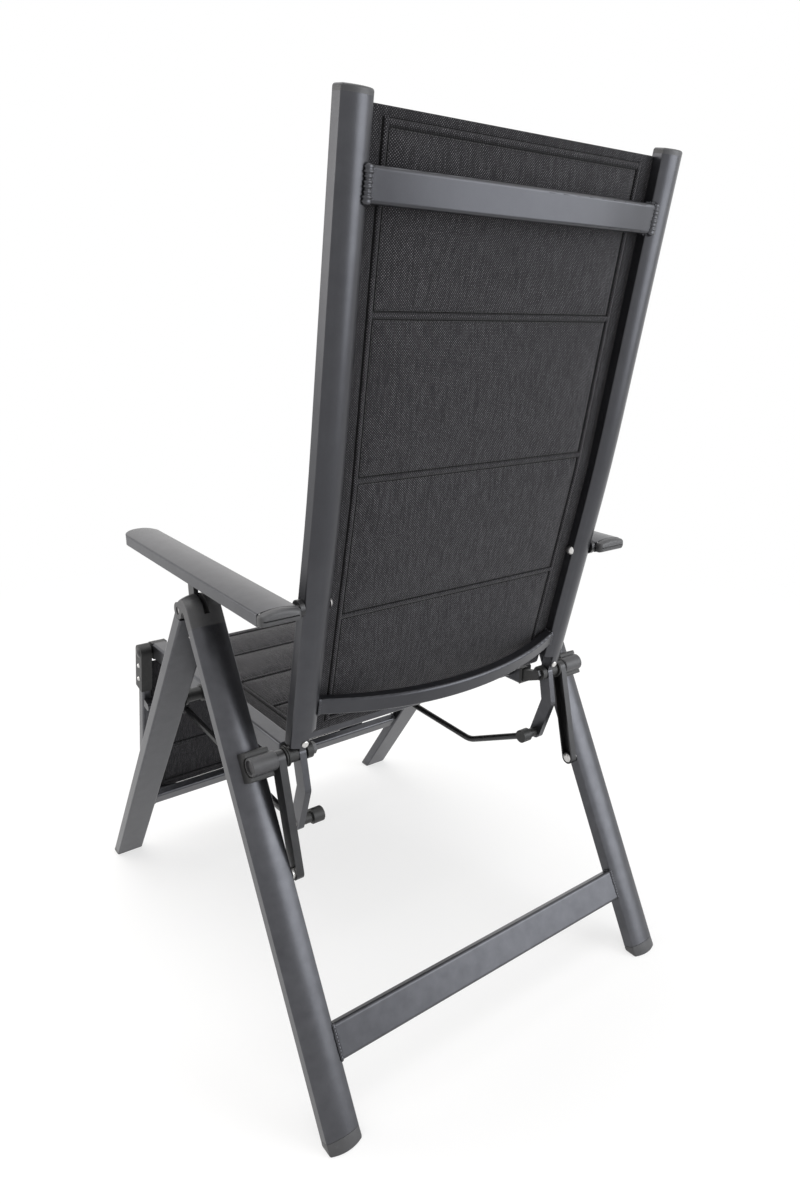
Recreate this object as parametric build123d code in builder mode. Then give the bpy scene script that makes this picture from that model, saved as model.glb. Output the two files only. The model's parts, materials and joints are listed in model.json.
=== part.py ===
"""Reclining garden armchair with a folding aluminium frame, padded textile panels and a linked footrest.

Frame: X to the sitter's left, Y to the rear, Z up, origin on the floor under the middle of the chair.
Points of the side view are pairs (y, z). All lengths are millimetres.
"""
import os
from math import asin, atan2, cos, degrees, hypot, radians, sin

from build123d import *

os.makedirs("parts", exist_ok=True)

# Fits and allowances
running = 0.05
air = 0.3
cut_over = 60

# Legs
hinge_height = 578
hinge_setback = 40
foot_reach = 366.5
leg_middle = 274
leg_width = 45
leg_depth = 22
leg_crown = 5
leg_wall = 2
leg_edge = 2.5
folded_gap = 3
fold_turn = 62
foot_skin = 1.3
foot_sleeve = 16
foot_height = 13

# Cross bars of the legs
bar_depth = 15
bar_edge = 4
bar_wall = 1.6
rear_bar_height = 44
rear_bar_drop = 553
front_bar_height = 28
front_bar_drop = 523

# Hinge heads over the legs
head_length = 30
head_inner_bend = 2
knuckle_radius = 8.5
knuckle_neck = 7
knuckle_width = 24
knuckle_plug = 34
tongue_slot = 7.2
hinge_pin_radius = 5
hinge_pin_inset = 1.5
screw_radius = 4
screw_height = 1.6
screw_drop = 46

# Tongues that carry the armrests
tongue_thickness = 6
tongue_width = 20
tongue_eye_radius = 8.4
tongue_height = 47
tongue_top = 3
tongue_pin_radius = 3.5
tongue_pin_length = 16
tongue_relief_angle = -34
tongue_rest_angle = 90
tongue_down_angle = 20
tongue_fan_steps = 5
knuckle_fan_steps = 4

# Pivots of the seat, measured along the legs from the hinge
seat_pivot_drop = 214
link_pivot_drop = 348

# Axle where the seat, the back and the link bars meet, measured along the rear leg from the hinge
axle_drop = 208.285
axle_behind = 34.038
axle_radius = 5
nut_radius = 8
nut_thickness = 6
bush_radius = 10
ring_radius = 13
ring_step = 1
ring_thickness = 2.2
bush_edge = 0.5
roller_radius = 12
roller_end = 282
roller_recess = 3
saddle_wall = 6
saddle_length = 32
saddle_inset = 1.5

# Link bars
link_width = 20
link_depth = 10
link_wall = 2.2
link_side_gap = 3.5
link_boss_radius = 8
rivet_radius = 4
rivet_head_radius = 7
rivet_head_height = 2.4

# Seat
rail_inner = 197
rail_width = 25
rail_height = 28
rail_wall = 2
rail_edge = 4
rail_drop = 16
rail_setback = 38
rail_reach = 468
seat_nose = 10
eye_thickness = 8
eye_radius = 11
eye_inset = 2.5
plug_length = 24
seat_bar_width = 12
seat_bar_height = 16
seat_bar_setback_rear = 20
seat_bar_lift = 4
seat_bar_sink = 6
seat_bar_setback_front = 12
stud_radius = 9.5
stud_flange_radius = 12.5
stud_flange = 3

# Back
tube_middle = 214
tube_width = 34
tube_depth = 22
tube_crown = 6
tube_wall = 2
tube_edge = 3
lower_lean = 13.2
upper_lean = 9.9
bend_rise = 320
bend_radius = 2400
back_rise = 681
tube_start = 14
tube_notch = 38
cap_height = 6
cap_rounding_share = 0.45
upper_bar_drop = 66
upper_bar_tall = 32
upper_bar_bow = 14
upper_bar_setback = 3
lower_bar_rise = 64
lower_bar_tall = 22
lower_bar_bow = 40
lower_bar_setback = 0

# Levers under the back
lever_inner = 210
lever_thickness = 9
lever_width = 20
lever_shank_width = 15
lever_shank = 70
lever_length = 105
lever_angle = -96.2
lever_elbow_back = 9
lever_elbow_drop = 46
lever_rivet_radius = 4.5
lever_rivet_place = 19
lever_rivet_head = 1.8

# Armrests
arm_inner = 240
arm_width = 50
arm_thickness = 17
arm_crown = 3
arm_wall = 3
arm_edge = 2.5
arm_rise = 44
arm_bottom_drop = 7.5
arm_tail = 14
arm_lead = 206.6
arm_tilt = 1.2
arm_nose_radius = 20
arm_cap = 6
arm_cap_rounding = 2
arm_bolt_radius = 4
arm_bolt_head = 6.5
arm_bolt_head_height = 5
arm_bolt_tail = 5.2
spacer_radius = 10
spacer_gap = 2
rack_width = 26
rack_slot = 17
rack_slot_behind = 25.4
rack_slot_ahead = 144.6
rack_wall_behind = 20
rack_wall_ahead = 14
rack_last_notch = 15
rack_notches = 7
rack_notch_radius = 5
rack_notch_depth = 2

# Footrest
foot_angle = -103.2
foot_length = 330
foot_rail_gap = 3
foot_rail_width = 15
foot_rail_depth = 22
foot_rail_wall = 1.6
foot_rail_edge = 5
bracket_width = 18
bracket_depth = 26
bracket_reach = 72
bracket_plug = 20
foot_pin_radius = 6
foot_pin_head = 9
foot_pin_head_height = 2.5
foot_rivet_shares = (0.36, 0.72)
foot_bar_radius = 7
foot_bar_place = 96
foot_bar_back = 24
bottom_bar_place = 302
bottom_bar_tall = 14
bottom_bar_deep = 8
bottom_bar_back = 6.5
bottom_bar_bow = 26
rod_pivot_place = 120
rod_pivot_back = 22
lug_thickness = 4
lug_radius = 9

# Rods from the levers to the footrest
rod_radius = 5
rod_rear_middle = 187
rod_front_middle = 169
rod_bend_run = 113.66
rod_bend_drop = 51.61
rod_bend_radius = 45
rod_end_radius = 10
rod_end_width = 17
rod_neck_radius = 7
rod_pin_radius = 4
rod_tip_radius = 10
rod_tip_width = 10
rod_end_edge = 1

# Padded panels
pad_side_gap = 0.4
pad_seam_thickness = 3
pad_band = 24
pad_swell = 6
pad_lens = 13
seat_pad_inset_front = 10
seat_pad_inset_rear = 28
seat_pad_sink = 8
seat_seam_shares = (0.26, 0.52, 0.78)
back_pad_rise = 20
back_pad_lead = 8.5
back_seam_shares = (0.239, 0.484, 0.735)
foot_pad_top = 26
foot_seam_shares = (0.336, 0.664)


def polar(start, angle, length):
    """Point at a distance from another, in the side view."""
    return (start[0] + length * cos(radians(angle)), start[1] + length * sin(radians(angle)))


def turned(angle):
    """Unit step at an angle in the side view."""
    return (cos(radians(angle)), sin(radians(angle)))


def stepped(start, angle, along, square):
    """Point reached by going along an angle, then square to its left."""
    return polar(polar(start, angle, along), angle + 90, square)


# Places worked out from the sizes above
hinge = (hinge_setback, hinge_height)
leg_inner = leg_middle - leg_width / 2
leg_outer = leg_middle + leg_width / 2
leg_offset = leg_depth + folded_gap
front_angle = degrees(atan2(-hinge_height, -foot_reach - hinge_setback))
rear_run = foot_reach - hinge_setback
rear_angle = degrees(atan2(-hinge_height, rear_run) - asin(leg_offset / hypot(rear_run, hinge_height)))
front_length = hypot(foot_reach + hinge_setback, hinge_height)
rear_length = (hinge_height + leg_offset * cos(radians(rear_angle))) / -sin(radians(rear_angle))
link_outer = leg_inner - link_side_gap
link_inner = link_outer - link_depth
rail_outer = rail_inner + rail_width
eye_inner = rail_inner + eye_inset
lever_outer = lever_inner + lever_thickness
tube_inner = tube_middle - tube_width / 2
tube_outer = tube_middle + tube_width / 2


def on_front(along, out):
    """Point along the front leg from the hinge, moved out to the front."""
    return stepped(hinge, front_angle, along, -out)


def on_rear(along, out):
    """Point along the rear leg from the hinge, moved out to the rear."""
    return stepped(hinge, rear_angle, along, out)


axle = on_rear(axle_drop, leg_offset + axle_behind)
axle_back, axle_height = axle
rail_middle_height = axle_height - rail_drop
rail_rear = axle_back - rail_setback
rail_front = rail_reach - axle_back
seat_nose_point = (-rail_front - seat_nose, rail_middle_height)
bend_height = axle_height + bend_rise
back_height = axle_height + back_rise
upper_bar_height = back_height - upper_bar_drop
lower_bar_height = axle_height + lower_bar_rise
arm_height = hinge_height + arm_rise


def back_at(height):
    """Point of the back tube's middle line at a height."""
    low = min(height, bend_height) - axle_height
    high = max(height - bend_height, 0)
    lean = low * sin(radians(lower_lean)) / cos(radians(lower_lean))
    return (axle_back + lean + high * sin(radians(upper_lean)) / cos(radians(upper_lean)), height)


def on_footrest(along, back):
    """Point along the footrest from its hinge, moved back from its middle plane."""
    return stepped(seat_nose_point, foot_angle, along, back)


seat_pivot = on_front(seat_pivot_drop, 0)
link_pivot = on_rear(link_pivot_drop, leg_offset)
lever_end = polar(axle, lever_angle, lever_length)
lever_elbow = (axle_back + lever_elbow_back, axle_height - lever_elbow_drop)
arm_pivot = back_at(arm_height)
arm_angle = 180 - arm_tilt
tongue_run = (arm_pivot[0] - hinge_setback) / cos(radians(arm_tilt))
arm_reach = tongue_run + arm_lead
rod_pivot = on_footrest(rod_pivot_place, rod_pivot_back)


def between(first, last):
    """Middle place of a straight run in the side view, turned along it, and the run's length."""
    run = (last[0] - first[0], last[1] - first[1])
    middle = ((first[0] + last[0]) / 2, (first[1] + last[1]) / 2, 0)
    return Location(middle, (0, 0, degrees(atan2(run[1], run[0])))), hypot(*run)


def side_plane(side, distance):
    """Plane square to X at a distance from the middle, with the side view's y and z."""
    return Plane.YZ.offset(side * distance)


def run_plane(middle, point, angle, out_sign):
    """Plane square to a run in the side view; its own y points to the run's left times the sign."""
    step = turned(angle)
    return Plane(origin=(middle, *point), x_dir=(out_sign, 0, 0), z_dir=(0, *step))


def keep(part, name):
    """Name a finished piece and write it."""
    part.label = name
    export_step(part, f"parts/{name}.step")


def d_section(width, depth, crown, edge, grow=0):
    """Sketch of a tube section: flat on the low side, crowned on the high side."""
    half, low, high = width / 2, -depth / 2, depth / 2
    with BuildSketch(Plane.XY) as section:
        with BuildLine():
            Polyline((-half, high - crown), (-half, low), (half, low), (half, high - crown))
            ThreePointArc((half, high - crown), (0, high), (-half, high - crown))
        make_face()
        fillet(section.vertices(), radius=edge)
        if grow:
            offset(amount=grow, mode=Mode.REPLACE)
    return section.sketch


leg_outline = d_section(leg_width, leg_depth, leg_crown, leg_edge)
leg_bore = d_section(leg_width, leg_depth, leg_crown, leg_edge, -leg_wall)
leg_core = d_section(leg_width, leg_depth, leg_crown, leg_edge, -leg_wall - air)
leg_sleeve = d_section(leg_width, leg_depth, leg_crown, leg_edge, foot_skin)
tube_outline = d_section(tube_width, tube_depth, tube_crown, tube_edge)
tube_bore = d_section(tube_width, tube_depth, tube_crown, tube_edge, -tube_wall)


def leg_bar_solid(lead, outline, start, stop, side):
    """Solid bar with a section of the leg between two places along it."""
    point = stepped(hinge, lead["angle"], start, lead["out"])
    with BuildPart() as bar:
        with BuildSketch(run_plane(side * leg_middle, point, lead["angle"], lead["out_sign"])):
            add(outline)
        extrude(amount=stop - start)
    return bar.part


# Front and rear legs, their feet and the hinge heads
front_lead = dict(angle=front_angle, out_sign=1, out=0)
rear_lead = dict(angle=rear_angle, out_sign=-1, out=leg_offset)
front_stop = front_length - foot_height
rear_stop = rear_length - foot_height
front_top = 8
nose_radius = leg_depth / 2
bend_middle = head_inner_bend + leg_depth / 2


def leg_tube(lead, start, stop, side):
    """Hollow leg between two places along it."""
    with BuildPart() as tube:
        add(leg_bar_solid(lead, leg_outline, start, stop, side))
        add(leg_bar_solid(lead, leg_bore, start, stop, side), mode=Mode.SUBTRACT)
    return tube.part


def slot_from_hinge(angle, half):
    """Place and size of a straight cut that starts at the hinge, in the side view."""
    middle = polar(hinge, angle, leg_depth)
    return Location((*middle, 0), (0, 0, angle)), (2 * leg_depth, 2 * half)


def front_leg(side):
    """Front leg, its top relieved for the hinge head's round nose and limb and for the tongue."""
    limb_spot, limb_size = slot_from_hinge(front_angle + 180 - fold_turn, nose_radius + air)
    tongue_spot, tongue_size = slot_from_hinge(tongue_relief_angle, tongue_eye_radius + 2 * air)
    with BuildPart() as leg:
        add(leg_tube(front_lead, front_top, front_stop, side))
        with BuildSketch(side_plane(side, leg_inner - air)):
            with Locations(hinge):
                Circle(nose_radius + air)
            with Locations(limb_spot):
                Rectangle(*limb_size)
        extrude(amount=side * (leg_width + 2 * air), mode=Mode.SUBTRACT)
        with BuildSketch(side_plane(side, leg_middle - tongue_slot / 2)):
            with Locations(tongue_spot):
                Rectangle(*tongue_size)
        extrude(amount=side * tongue_slot, mode=Mode.SUBTRACT)
    return leg.part


def leg_foot(lead, length, side):
    """Plastic cup on the end of a leg, cut flat on the floor."""
    tube_end = length - foot_height
    with BuildPart() as foot:
        add(leg_bar_solid(lead, leg_sleeve, tube_end - foot_sleeve, length + foot_height, side))
        add(leg_bar_solid(lead, leg_outline, tube_end - 2 * foot_sleeve, tube_end, side), mode=Mode.SUBTRACT)
        split(bisect_by=Plane.XY, keep=Keep.TOP)
    return foot.part


for side, word in ((1, "left"), (-1, "right")):
    keep(front_leg(side), f"front_leg_{word}")
    keep(leg_tube(rear_lead, head_length, rear_stop, side), f"rear_leg_{word}")
    keep(leg_foot(front_lead, front_length, side), f"front_foot_{word}")
    keep(leg_foot(rear_lead, rear_length, side), f"rear_foot_{word}")


def leg_bar(angle, drop, out, height):
    """Cross bar between a pair of legs."""
    point = stepped(hinge, angle, drop, out)
    across = Plane(origin=(-leg_inner, *point), x_dir=(0, *turned(angle)), z_dir=(1, 0, 0))
    with BuildPart() as bar:
        with BuildSketch(across):
            RectangleRounded(height, bar_depth, bar_edge)
            offset(amount=-bar_wall, mode=Mode.SUBTRACT)
        extrude(amount=2 * leg_inner)
    return bar.part


keep(leg_bar(front_angle, front_bar_drop, 0, front_bar_height), "front_crossbar")
keep(leg_bar(rear_angle, rear_bar_drop, leg_offset, rear_bar_height), "rear_crossbar")


def bend_centre():
    """Centre of the head's bend, one bend radius behind the front leg's line and before the rear leg's."""
    rear_gap = leg_offset - bend_middle
    spread = radians(rear_angle - front_angle)
    along = (bend_middle - rear_gap * cos(spread)) / sin(spread)
    return stepped(hinge, rear_angle, along, rear_gap)


centre = bend_centre()
rear_tangent = stepped(centre, rear_angle, 0, bend_middle)
front_tangent = stepped(centre, front_angle, 0, -bend_middle)
top_angle = (rear_angle + 90 + front_angle - 90 + 360) / 2
bend_top = polar(centre, top_angle, bend_middle)


def fan(radius, reach, first, last, steps):
    """Sketch of a slot that swings about the hinge between two angles."""
    for step in range(steps + 1):
        angle = first + (last - first) * step / steps
        with Locations(Location((*polar(hinge, angle, reach / 2), 0), (0, 0, angle))):
            SlotCenterToCenter(reach, 2 * radius)


def hinge_head(side):
    """Plastic arch on the rear leg, forked for the front leg's knuckle and slotted for the tongue."""
    middle = side * leg_middle
    lap = knuckle_width / 2 + air
    start = on_rear(head_length, leg_offset)
    with BuildPart() as head:
        with BuildLine():
            Line((middle, *start), (middle, *rear_tangent))
            bend = ThreePointArc((middle, *rear_tangent), (middle, *bend_top), (middle, *front_tangent))
            Line(bend @ 1, (middle, *hinge))
        with BuildSketch(run_plane(middle, start, rear_angle + 180, 1)):
            add(leg_outline)
        sweep()
        with BuildSketch(side_plane(side, leg_inner)):
            with Locations(hinge):
                Circle(nose_radius)
        extrude(amount=side * leg_width)
        with BuildSketch(run_plane(middle, start, rear_angle, -1)):
            add(leg_core)
        extrude(amount=head_length)
        with BuildSketch(side_plane(side, leg_middle - lap)):
            fan(knuckle_radius + 2 * air, knuckle_plug, front_angle, rear_angle, knuckle_fan_steps)
        extrude(amount=side * 2 * lap, mode=Mode.SUBTRACT)
        with BuildSketch(side_plane(side, leg_middle - tongue_slot / 2)):
            half = tongue_width / 2 + 2 * air
            fan(half, tongue_height, tongue_rest_angle, tongue_down_angle, tongue_fan_steps)
        extrude(amount=side * tongue_slot, mode=Mode.SUBTRACT)
        with BuildSketch(side_plane(side, leg_inner - cut_over)):
            with Locations(hinge):
                Circle(hinge_pin_radius + running)
        extrude(amount=side * (leg_width + 2 * cut_over), mode=Mode.SUBTRACT)
    return head.part


def hinge_knuckle(side):
    """Two ears on a plug in the front leg's top, one on each side of the tongue."""
    ear = (knuckle_width - tongue_slot) / 2
    middle = side * leg_middle
    point = on_front(knuckle_plug / 2, 0)
    with BuildPart() as knuckle:
        with BuildSketch(run_plane(middle, point, front_angle, 1)):
            add(leg_core)
        extrude(amount=knuckle_plug)
        for start in (leg_middle - knuckle_width / 2, leg_middle + knuckle_width / 2 - ear):
            with BuildSketch(side_plane(side, start)):
                with Locations(Location((*on_front(knuckle_plug / 2, 0), 0), (0, 0, front_angle))):
                    Rectangle(knuckle_plug, 2 * knuckle_neck)
                with Locations(hinge):
                    Circle(knuckle_radius)
            extrude(amount=side * ear)
        with BuildSketch(side_plane(side, leg_inner - cut_over)):
            with Locations(hinge):
                Circle(hinge_pin_radius + running)
        extrude(amount=side * (leg_width + 2 * cut_over), mode=Mode.SUBTRACT)
    return knuckle.part


def pin(side, point, radius, start, stop):
    """Round pin along X between two distances from the middle."""
    with BuildPart() as body:
        with BuildSketch(side_plane(side, start)):
            with Locations(point):
                Circle(radius)
        extrude(amount=side * (stop - start))
    return body.part


def ring(side, point, radius, bore, start, stop, edge=0):
    """Round disc or ring along X between two distances from the middle, with its rims eased."""
    with BuildPart() as body:
        with BuildSketch(side_plane(side, start)):
            with Locations(point):
                Circle(radius)
        extrude(amount=side * (stop - start))
        if edge:
            chamfer(body.edges().filter_by(GeomType.CIRCLE), length=edge)
        if bore:
            with BuildSketch(side_plane(side, start)):
                with Locations(point):
                    Circle(bore)
            extrude(amount=side * (stop - start), mode=Mode.SUBTRACT)
    return body.part


def dome(side, point, radius, height, start, outward=1):
    """Domed head that stands on a plane square to X, with its crown away from or to the middle."""
    sphere = (radius * radius + height * height) / (2 * height)
    with BuildPart() as body:
        base = Plane(origin=(side * start, *point), x_dir=(0, 1, 0), z_dir=(side * outward, 0, 0))
        with BuildSketch(Plane(origin=base.origin, x_dir=base.x_dir, z_dir=base.y_dir)):
            with BuildLine():
                Line((0, 0), (radius, 0))
                ThreePointArc((radius, 0), rim_point(radius, height, sphere, base), (0, -height))
                Line((0, -height), (0, 0))
            make_face()
        revolve(axis=Axis(base.origin, base.z_dir))
    return body.part


def rim_point(radius, height, sphere, base):
    """Middle point of a dome's arc in its own half section."""
    sweep_angle = asin(radius / sphere) / 2
    return (sphere * sin(sweep_angle), -(height - sphere + sphere * cos(sweep_angle)))


def group(pieces):
    """One node of separate solids."""
    return Compound(children=list(pieces))


sides = (1, -1)
for side, word in ((1, "left"), (-1, "right")):
    keep(hinge_head(side), f"hinge_head_{word}")
keep(group(hinge_knuckle(side) for side in sides), "hinge_knuckles")
pin_start, pin_stop = leg_inner + hinge_pin_inset, leg_outer - hinge_pin_inset
keep(group(pin(side, hinge, hinge_pin_radius, pin_start, pin_stop) for side in sides), "hinge_pins")


def knuckle_screw(side):
    """Domed screw head on the flat face of the front leg."""
    spot = on_front(screw_drop, -leg_depth / 2)
    outward = (0, *turned(front_angle + 90))
    with BuildPart() as screw:
        with BuildSketch(Plane(origin=(side * leg_middle, *spot), x_dir=(1, 0, 0), z_dir=outward)):
            Circle(screw_radius)
        extrude(amount=screw_height)
        chamfer(screw.faces().sort_by(Axis((0, *spot), outward))[-1].edges(), screw_height / 2)
    return screw.part


keep(group(knuckle_screw(side) for side in sides), "knuckle_screws")


def tongue(side):
    """Flat tongue that stands in the hinge head, with a cross pin for the armrest's rack."""
    tip = (hinge_setback, hinge_height + tongue_height)
    with BuildPart() as plate:
        with BuildSketch(side_plane(side, leg_middle - tongue_thickness / 2)):
            with Locations(hinge):
                Circle(tongue_eye_radius)
            with Locations((hinge_setback, hinge_height + (tongue_height + tongue_top) / 2)):
                RectangleRounded(tongue_eye_radius * 2, tongue_height + tongue_top, tongue_top)
            with Locations(hinge):
                Circle(hinge_pin_radius + running, mode=Mode.SUBTRACT)
        extrude(amount=side * tongue_thickness)
        with BuildSketch(side_plane(side, leg_middle - tongue_pin_length / 2)):
            with Locations(tip):
                Circle(tongue_pin_radius)
        extrude(amount=side * tongue_pin_length)
    return plate.part


keep(group(tongue(side) for side in sides), "arm_tongues")


# Saddles, axles and link bars
def saddle(side):
    """Half-round rest on the back of the rear leg for the axle's roller."""
    stop = leg_inner - saddle_inset + saddle_length
    spot = Location((*on_rear(axle_drop, leg_offset + axle_behind / 2), 0), (0, 0, rear_angle))
    with BuildPart() as rest:
        with BuildSketch(side_plane(side, leg_inner + saddle_inset)):
            with Locations(spot):
                RectangleRounded(2 * (roller_radius + saddle_wall), axle_behind, saddle_wall / 3)
            with Locations(axle):
                Circle(roller_radius + air, mode=Mode.SUBTRACT)
        extrude(amount=side * (stop - leg_inner))
        add(leg_bar_solid(rear_lead, leg_outline, 0, rear_length, side), mode=Mode.SUBTRACT)
    return rest.part


def link_bar(side):
    """Channel with round ends from the axle to the rear leg, its open face to the middle of the chair."""
    spot, length = between(axle, link_pivot)
    with BuildPart() as bar:
        with BuildSketch(side_plane(side, link_inner)):
            with Locations(spot):
                SlotCenterToCenter(length, link_width)
        extrude(amount=side * link_depth)
        with BuildSketch(side_plane(side, link_inner)):
            with Locations(spot):
                SlotCenterToCenter(length, link_width - 2 * link_wall)
            with Locations(axle, link_pivot):
                Circle(link_boss_radius, mode=Mode.SUBTRACT)
        extrude(amount=side * (link_depth - link_wall), mode=Mode.SUBTRACT)
        with BuildSketch(side_plane(side, link_inner)):
            with Locations(axle):
                Circle(axle_radius + running)
            with Locations(link_pivot):
                Circle(rivet_radius + running)
        extrude(amount=side * link_depth, mode=Mode.SUBTRACT)
    return bar.part


def link_rivet(side):
    """Rivet through the link bar onto the rear leg."""
    with BuildPart() as body:
        add(pin(side, link_pivot, rivet_radius, link_inner - air, leg_inner))
        add(pin(side, link_pivot, rivet_head_radius, link_outer + air, leg_inner))
        add(dome(side, link_pivot, rivet_head_radius, rivet_head_height, link_inner - air, -1))
    return body.part


def axle_bolt(side):
    """Bolt through the seat eye, the lever and the link bar, with its nut to the middle."""
    with BuildPart() as body:
        with BuildSketch(side_plane(side, eye_inner - air - nut_thickness)):
            with Locations(axle):
                RegularPolygon(nut_radius, 6)
        extrude(amount=side * nut_thickness)
        add(pin(side, axle, axle_radius, eye_inner - air - nut_thickness, roller_end - roller_radius))
    return body.part


def axle_ring(side, start, radius):
    return ring(side, axle, radius, axle_radius + running, start, start + ring_thickness, edge=ring_thickness / 4)


def axle_roller(side):
    """Round bearer that rests in the saddle, closed and dished at its outer end."""
    with BuildPart() as body:
        add(pin(side, axle, roller_radius, link_outer + air, roller_end))
        chamfer(body.edges().filter_by(GeomType.CIRCLE), length=roller_recess / 3)
        with BuildSketch(side_plane(side, link_outer)):
            with Locations(axle):
                Circle(axle_radius + running)
        extrude(amount=side * (roller_end - roller_radius - link_outer + air), mode=Mode.SUBTRACT)
        with BuildSketch(side_plane(side, roller_end - roller_recess)):
            with Locations(axle):
                Circle(roller_radius - roller_recess)
        extrude(amount=side * roller_recess, mode=Mode.SUBTRACT)
    return body.part


bush_inner = lever_outer + air
bush_outer = tube_outer + 2 * air
ring_place = bush_outer + air
keep(group(saddle(side) for side in sides), "axle_saddles")
keep(group(link_bar(side) for side in sides), "link_bars")
keep(group(link_rivet(side) for side in sides), "link_rivets")
keep(group(axle_bolt(side) for side in sides), "axle_bolts")
keep(group(axle_roller(side) for side in sides), "axle_rollers")
bush_bore = axle_radius + running
keep(
    group(ring(side, axle, bush_radius, bush_bore, bush_inner, bush_outer, edge=bush_edge) for side in sides),
    "axle_bushes",
)
ring_pairs = ((ring_place, ring_radius), (ring_place + ring_thickness + air, ring_radius - ring_step))
keep(group(axle_ring(side, *pair) for side in sides for pair in ring_pairs), "axle_washers")


# Seat
def seat_rail(side):
    """Hollow rail along one side of the seat."""
    spot = (side * (rail_inner + rail_width / 2), -rail_front, rail_middle_height)
    with BuildPart() as rail:
        with BuildSketch(Plane(origin=spot, x_dir=(1, 0, 0), z_dir=(0, 1, 0))):
            RectangleRounded(rail_width, rail_height, rail_edge)
            offset(amount=-rail_wall, mode=Mode.SUBTRACT)
        extrude(amount=rail_front + rail_rear)
    return rail.part


def rail_plug(side, start, length):
    """Block that fills the rail's bore."""
    spot = (side * (rail_inner + rail_width / 2), start, rail_middle_height)
    inner_edge = rail_edge - rail_wall
    with BuildPart() as plug:
        with BuildSketch(Plane(origin=spot, x_dir=(1, 0, 0), z_dir=(0, 1, 0))):
            gap = 2 * (rail_wall + air)
            RectangleRounded(rail_width - gap, rail_height - gap, inner_edge)
        extrude(amount=length)
    return plug.part


def seat_eye(side):
    """End fitting of the rail: plug, round-bottomed cap and the eye on the axle."""
    cap = eye_radius
    low = rail_middle_height - rail_height / 2
    with BuildPart() as fitting:
        add(rail_plug(side, rail_rear - plug_length, plug_length))
        with BuildSketch(side_plane(side, rail_inner)):
            with BuildLine():
                Line((rail_rear, low), (rail_rear, low + rail_height))
                Line((rail_rear, low + rail_height), (rail_rear + cap / 2, low + rail_height))
                Line((rail_rear + cap / 2, low + rail_height), (rail_rear + cap / 2, low + cap))
                RadiusArc((rail_rear + cap / 2, low + cap), (rail_rear, low), cap * 2)
            make_face()
        extrude(amount=side * (lever_inner - air - rail_inner))
        with BuildSketch(side_plane(side, eye_inner)):
            with BuildLine():
                top = (axle[0], axle[1] + eye_radius)
                Line((rail_rear, low + rail_wall * 2), (rail_rear, low + rail_height - rail_wall * 2))
                Line((rail_rear, low + rail_height - rail_wall * 2), (axle[0] - eye_radius, axle[1]))
                ThreePointArc((axle[0] - eye_radius, axle[1]), top, (axle[0] + eye_radius, axle[1]))
                ThreePointArc(
                    (axle[0] + eye_radius, axle[1]),
                    polar(axle, -45, eye_radius),
                    (axle[0], axle[1] - eye_radius),
                )
                Line((axle[0], axle[1] - eye_radius), (rail_rear, low + rail_wall * 2))
            make_face()
            with Locations(axle):
                Circle(axle_radius + running, mode=Mode.SUBTRACT)
        extrude(amount=side * eye_thickness)
    return fitting.part


def seat_nose_fitting(side):
    """Front end of the rail, rounded about the footrest's hinge."""
    with BuildPart() as fitting:
        add(rail_plug(side, -rail_front, plug_length))
        with BuildSketch(side_plane(side, rail_inner)):
            with Locations(seat_nose_point):
                Circle(rail_height / 2)
            with Locations((-rail_front - seat_nose / 2, rail_middle_height)):
                Rectangle(seat_nose, rail_height)
            with Locations((-rail_front + seat_nose, rail_middle_height)):
                Rectangle(2 * seat_nose, 2 * rail_height, mode=Mode.SUBTRACT)
        extrude(amount=side * rail_width)
        with BuildSketch(side_plane(side, rail_inner)):
            with Locations(seat_nose_point):
                Circle(foot_pin_radius + running)
        extrude(amount=side * rail_width, mode=Mode.SUBTRACT)
    return fitting.part


def seat_bar(place, height):
    """Flat bar between the seat rails."""
    spot = (-rail_inner, place, height)
    with BuildPart() as bar:
        with BuildSketch(Plane(origin=spot, x_dir=(0, 1, 0), z_dir=(1, 0, 0))):
            RectangleRounded(seat_bar_width, seat_bar_height, rail_edge)
            offset(amount=-bar_wall, mode=Mode.SUBTRACT)
        extrude(amount=2 * rail_inner)
    return bar.part


def seat_stud(side):
    """Pivot stud of the seat on the front leg's inner face, flanged at both ends."""
    with BuildPart() as stud:
        add(pin(side, seat_pivot, stud_radius, rail_outer + air, leg_inner))
        add(pin(side, seat_pivot, stud_flange_radius, leg_inner - stud_flange, leg_inner))
        add(pin(side, seat_pivot, stud_flange_radius, rail_outer + air, rail_outer + air + stud_flange))
    return stud.part


for side, word in ((1, "left"), (-1, "right")):
    keep(seat_rail(side), f"seat_rail_{word}")
    keep(seat_eye(side), f"seat_eye_{word}")
    keep(seat_nose_fitting(side), f"seat_nose_{word}")
keep(seat_bar(rail_rear - seat_bar_setback_rear, rail_middle_height + seat_bar_lift), "seat_rear_crossbar")
keep(seat_bar(-rail_front + seat_bar_setback_front, rail_middle_height - seat_bar_sink), "seat_front_crossbar")
keep(group(seat_stud(side) for side in sides), "seat_pivot_studs")


# Back frame
def tube_solid(middle, low, high, outline):
    """Bar with a section of the back tube along its line, crowned to the rear."""
    with BuildPart() as tube:
        with BuildLine():
            points = [(middle, *back_at(height)) for height in (low, bend_height, high)]
            FilletPolyline(*points, radius=bend_radius)
        with BuildSketch(run_plane(middle, back_at(low), 90 - lower_lean, 1)):
            add(outline)
        sweep()
    return tube.part


tube_low = axle_height + tube_start


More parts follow.
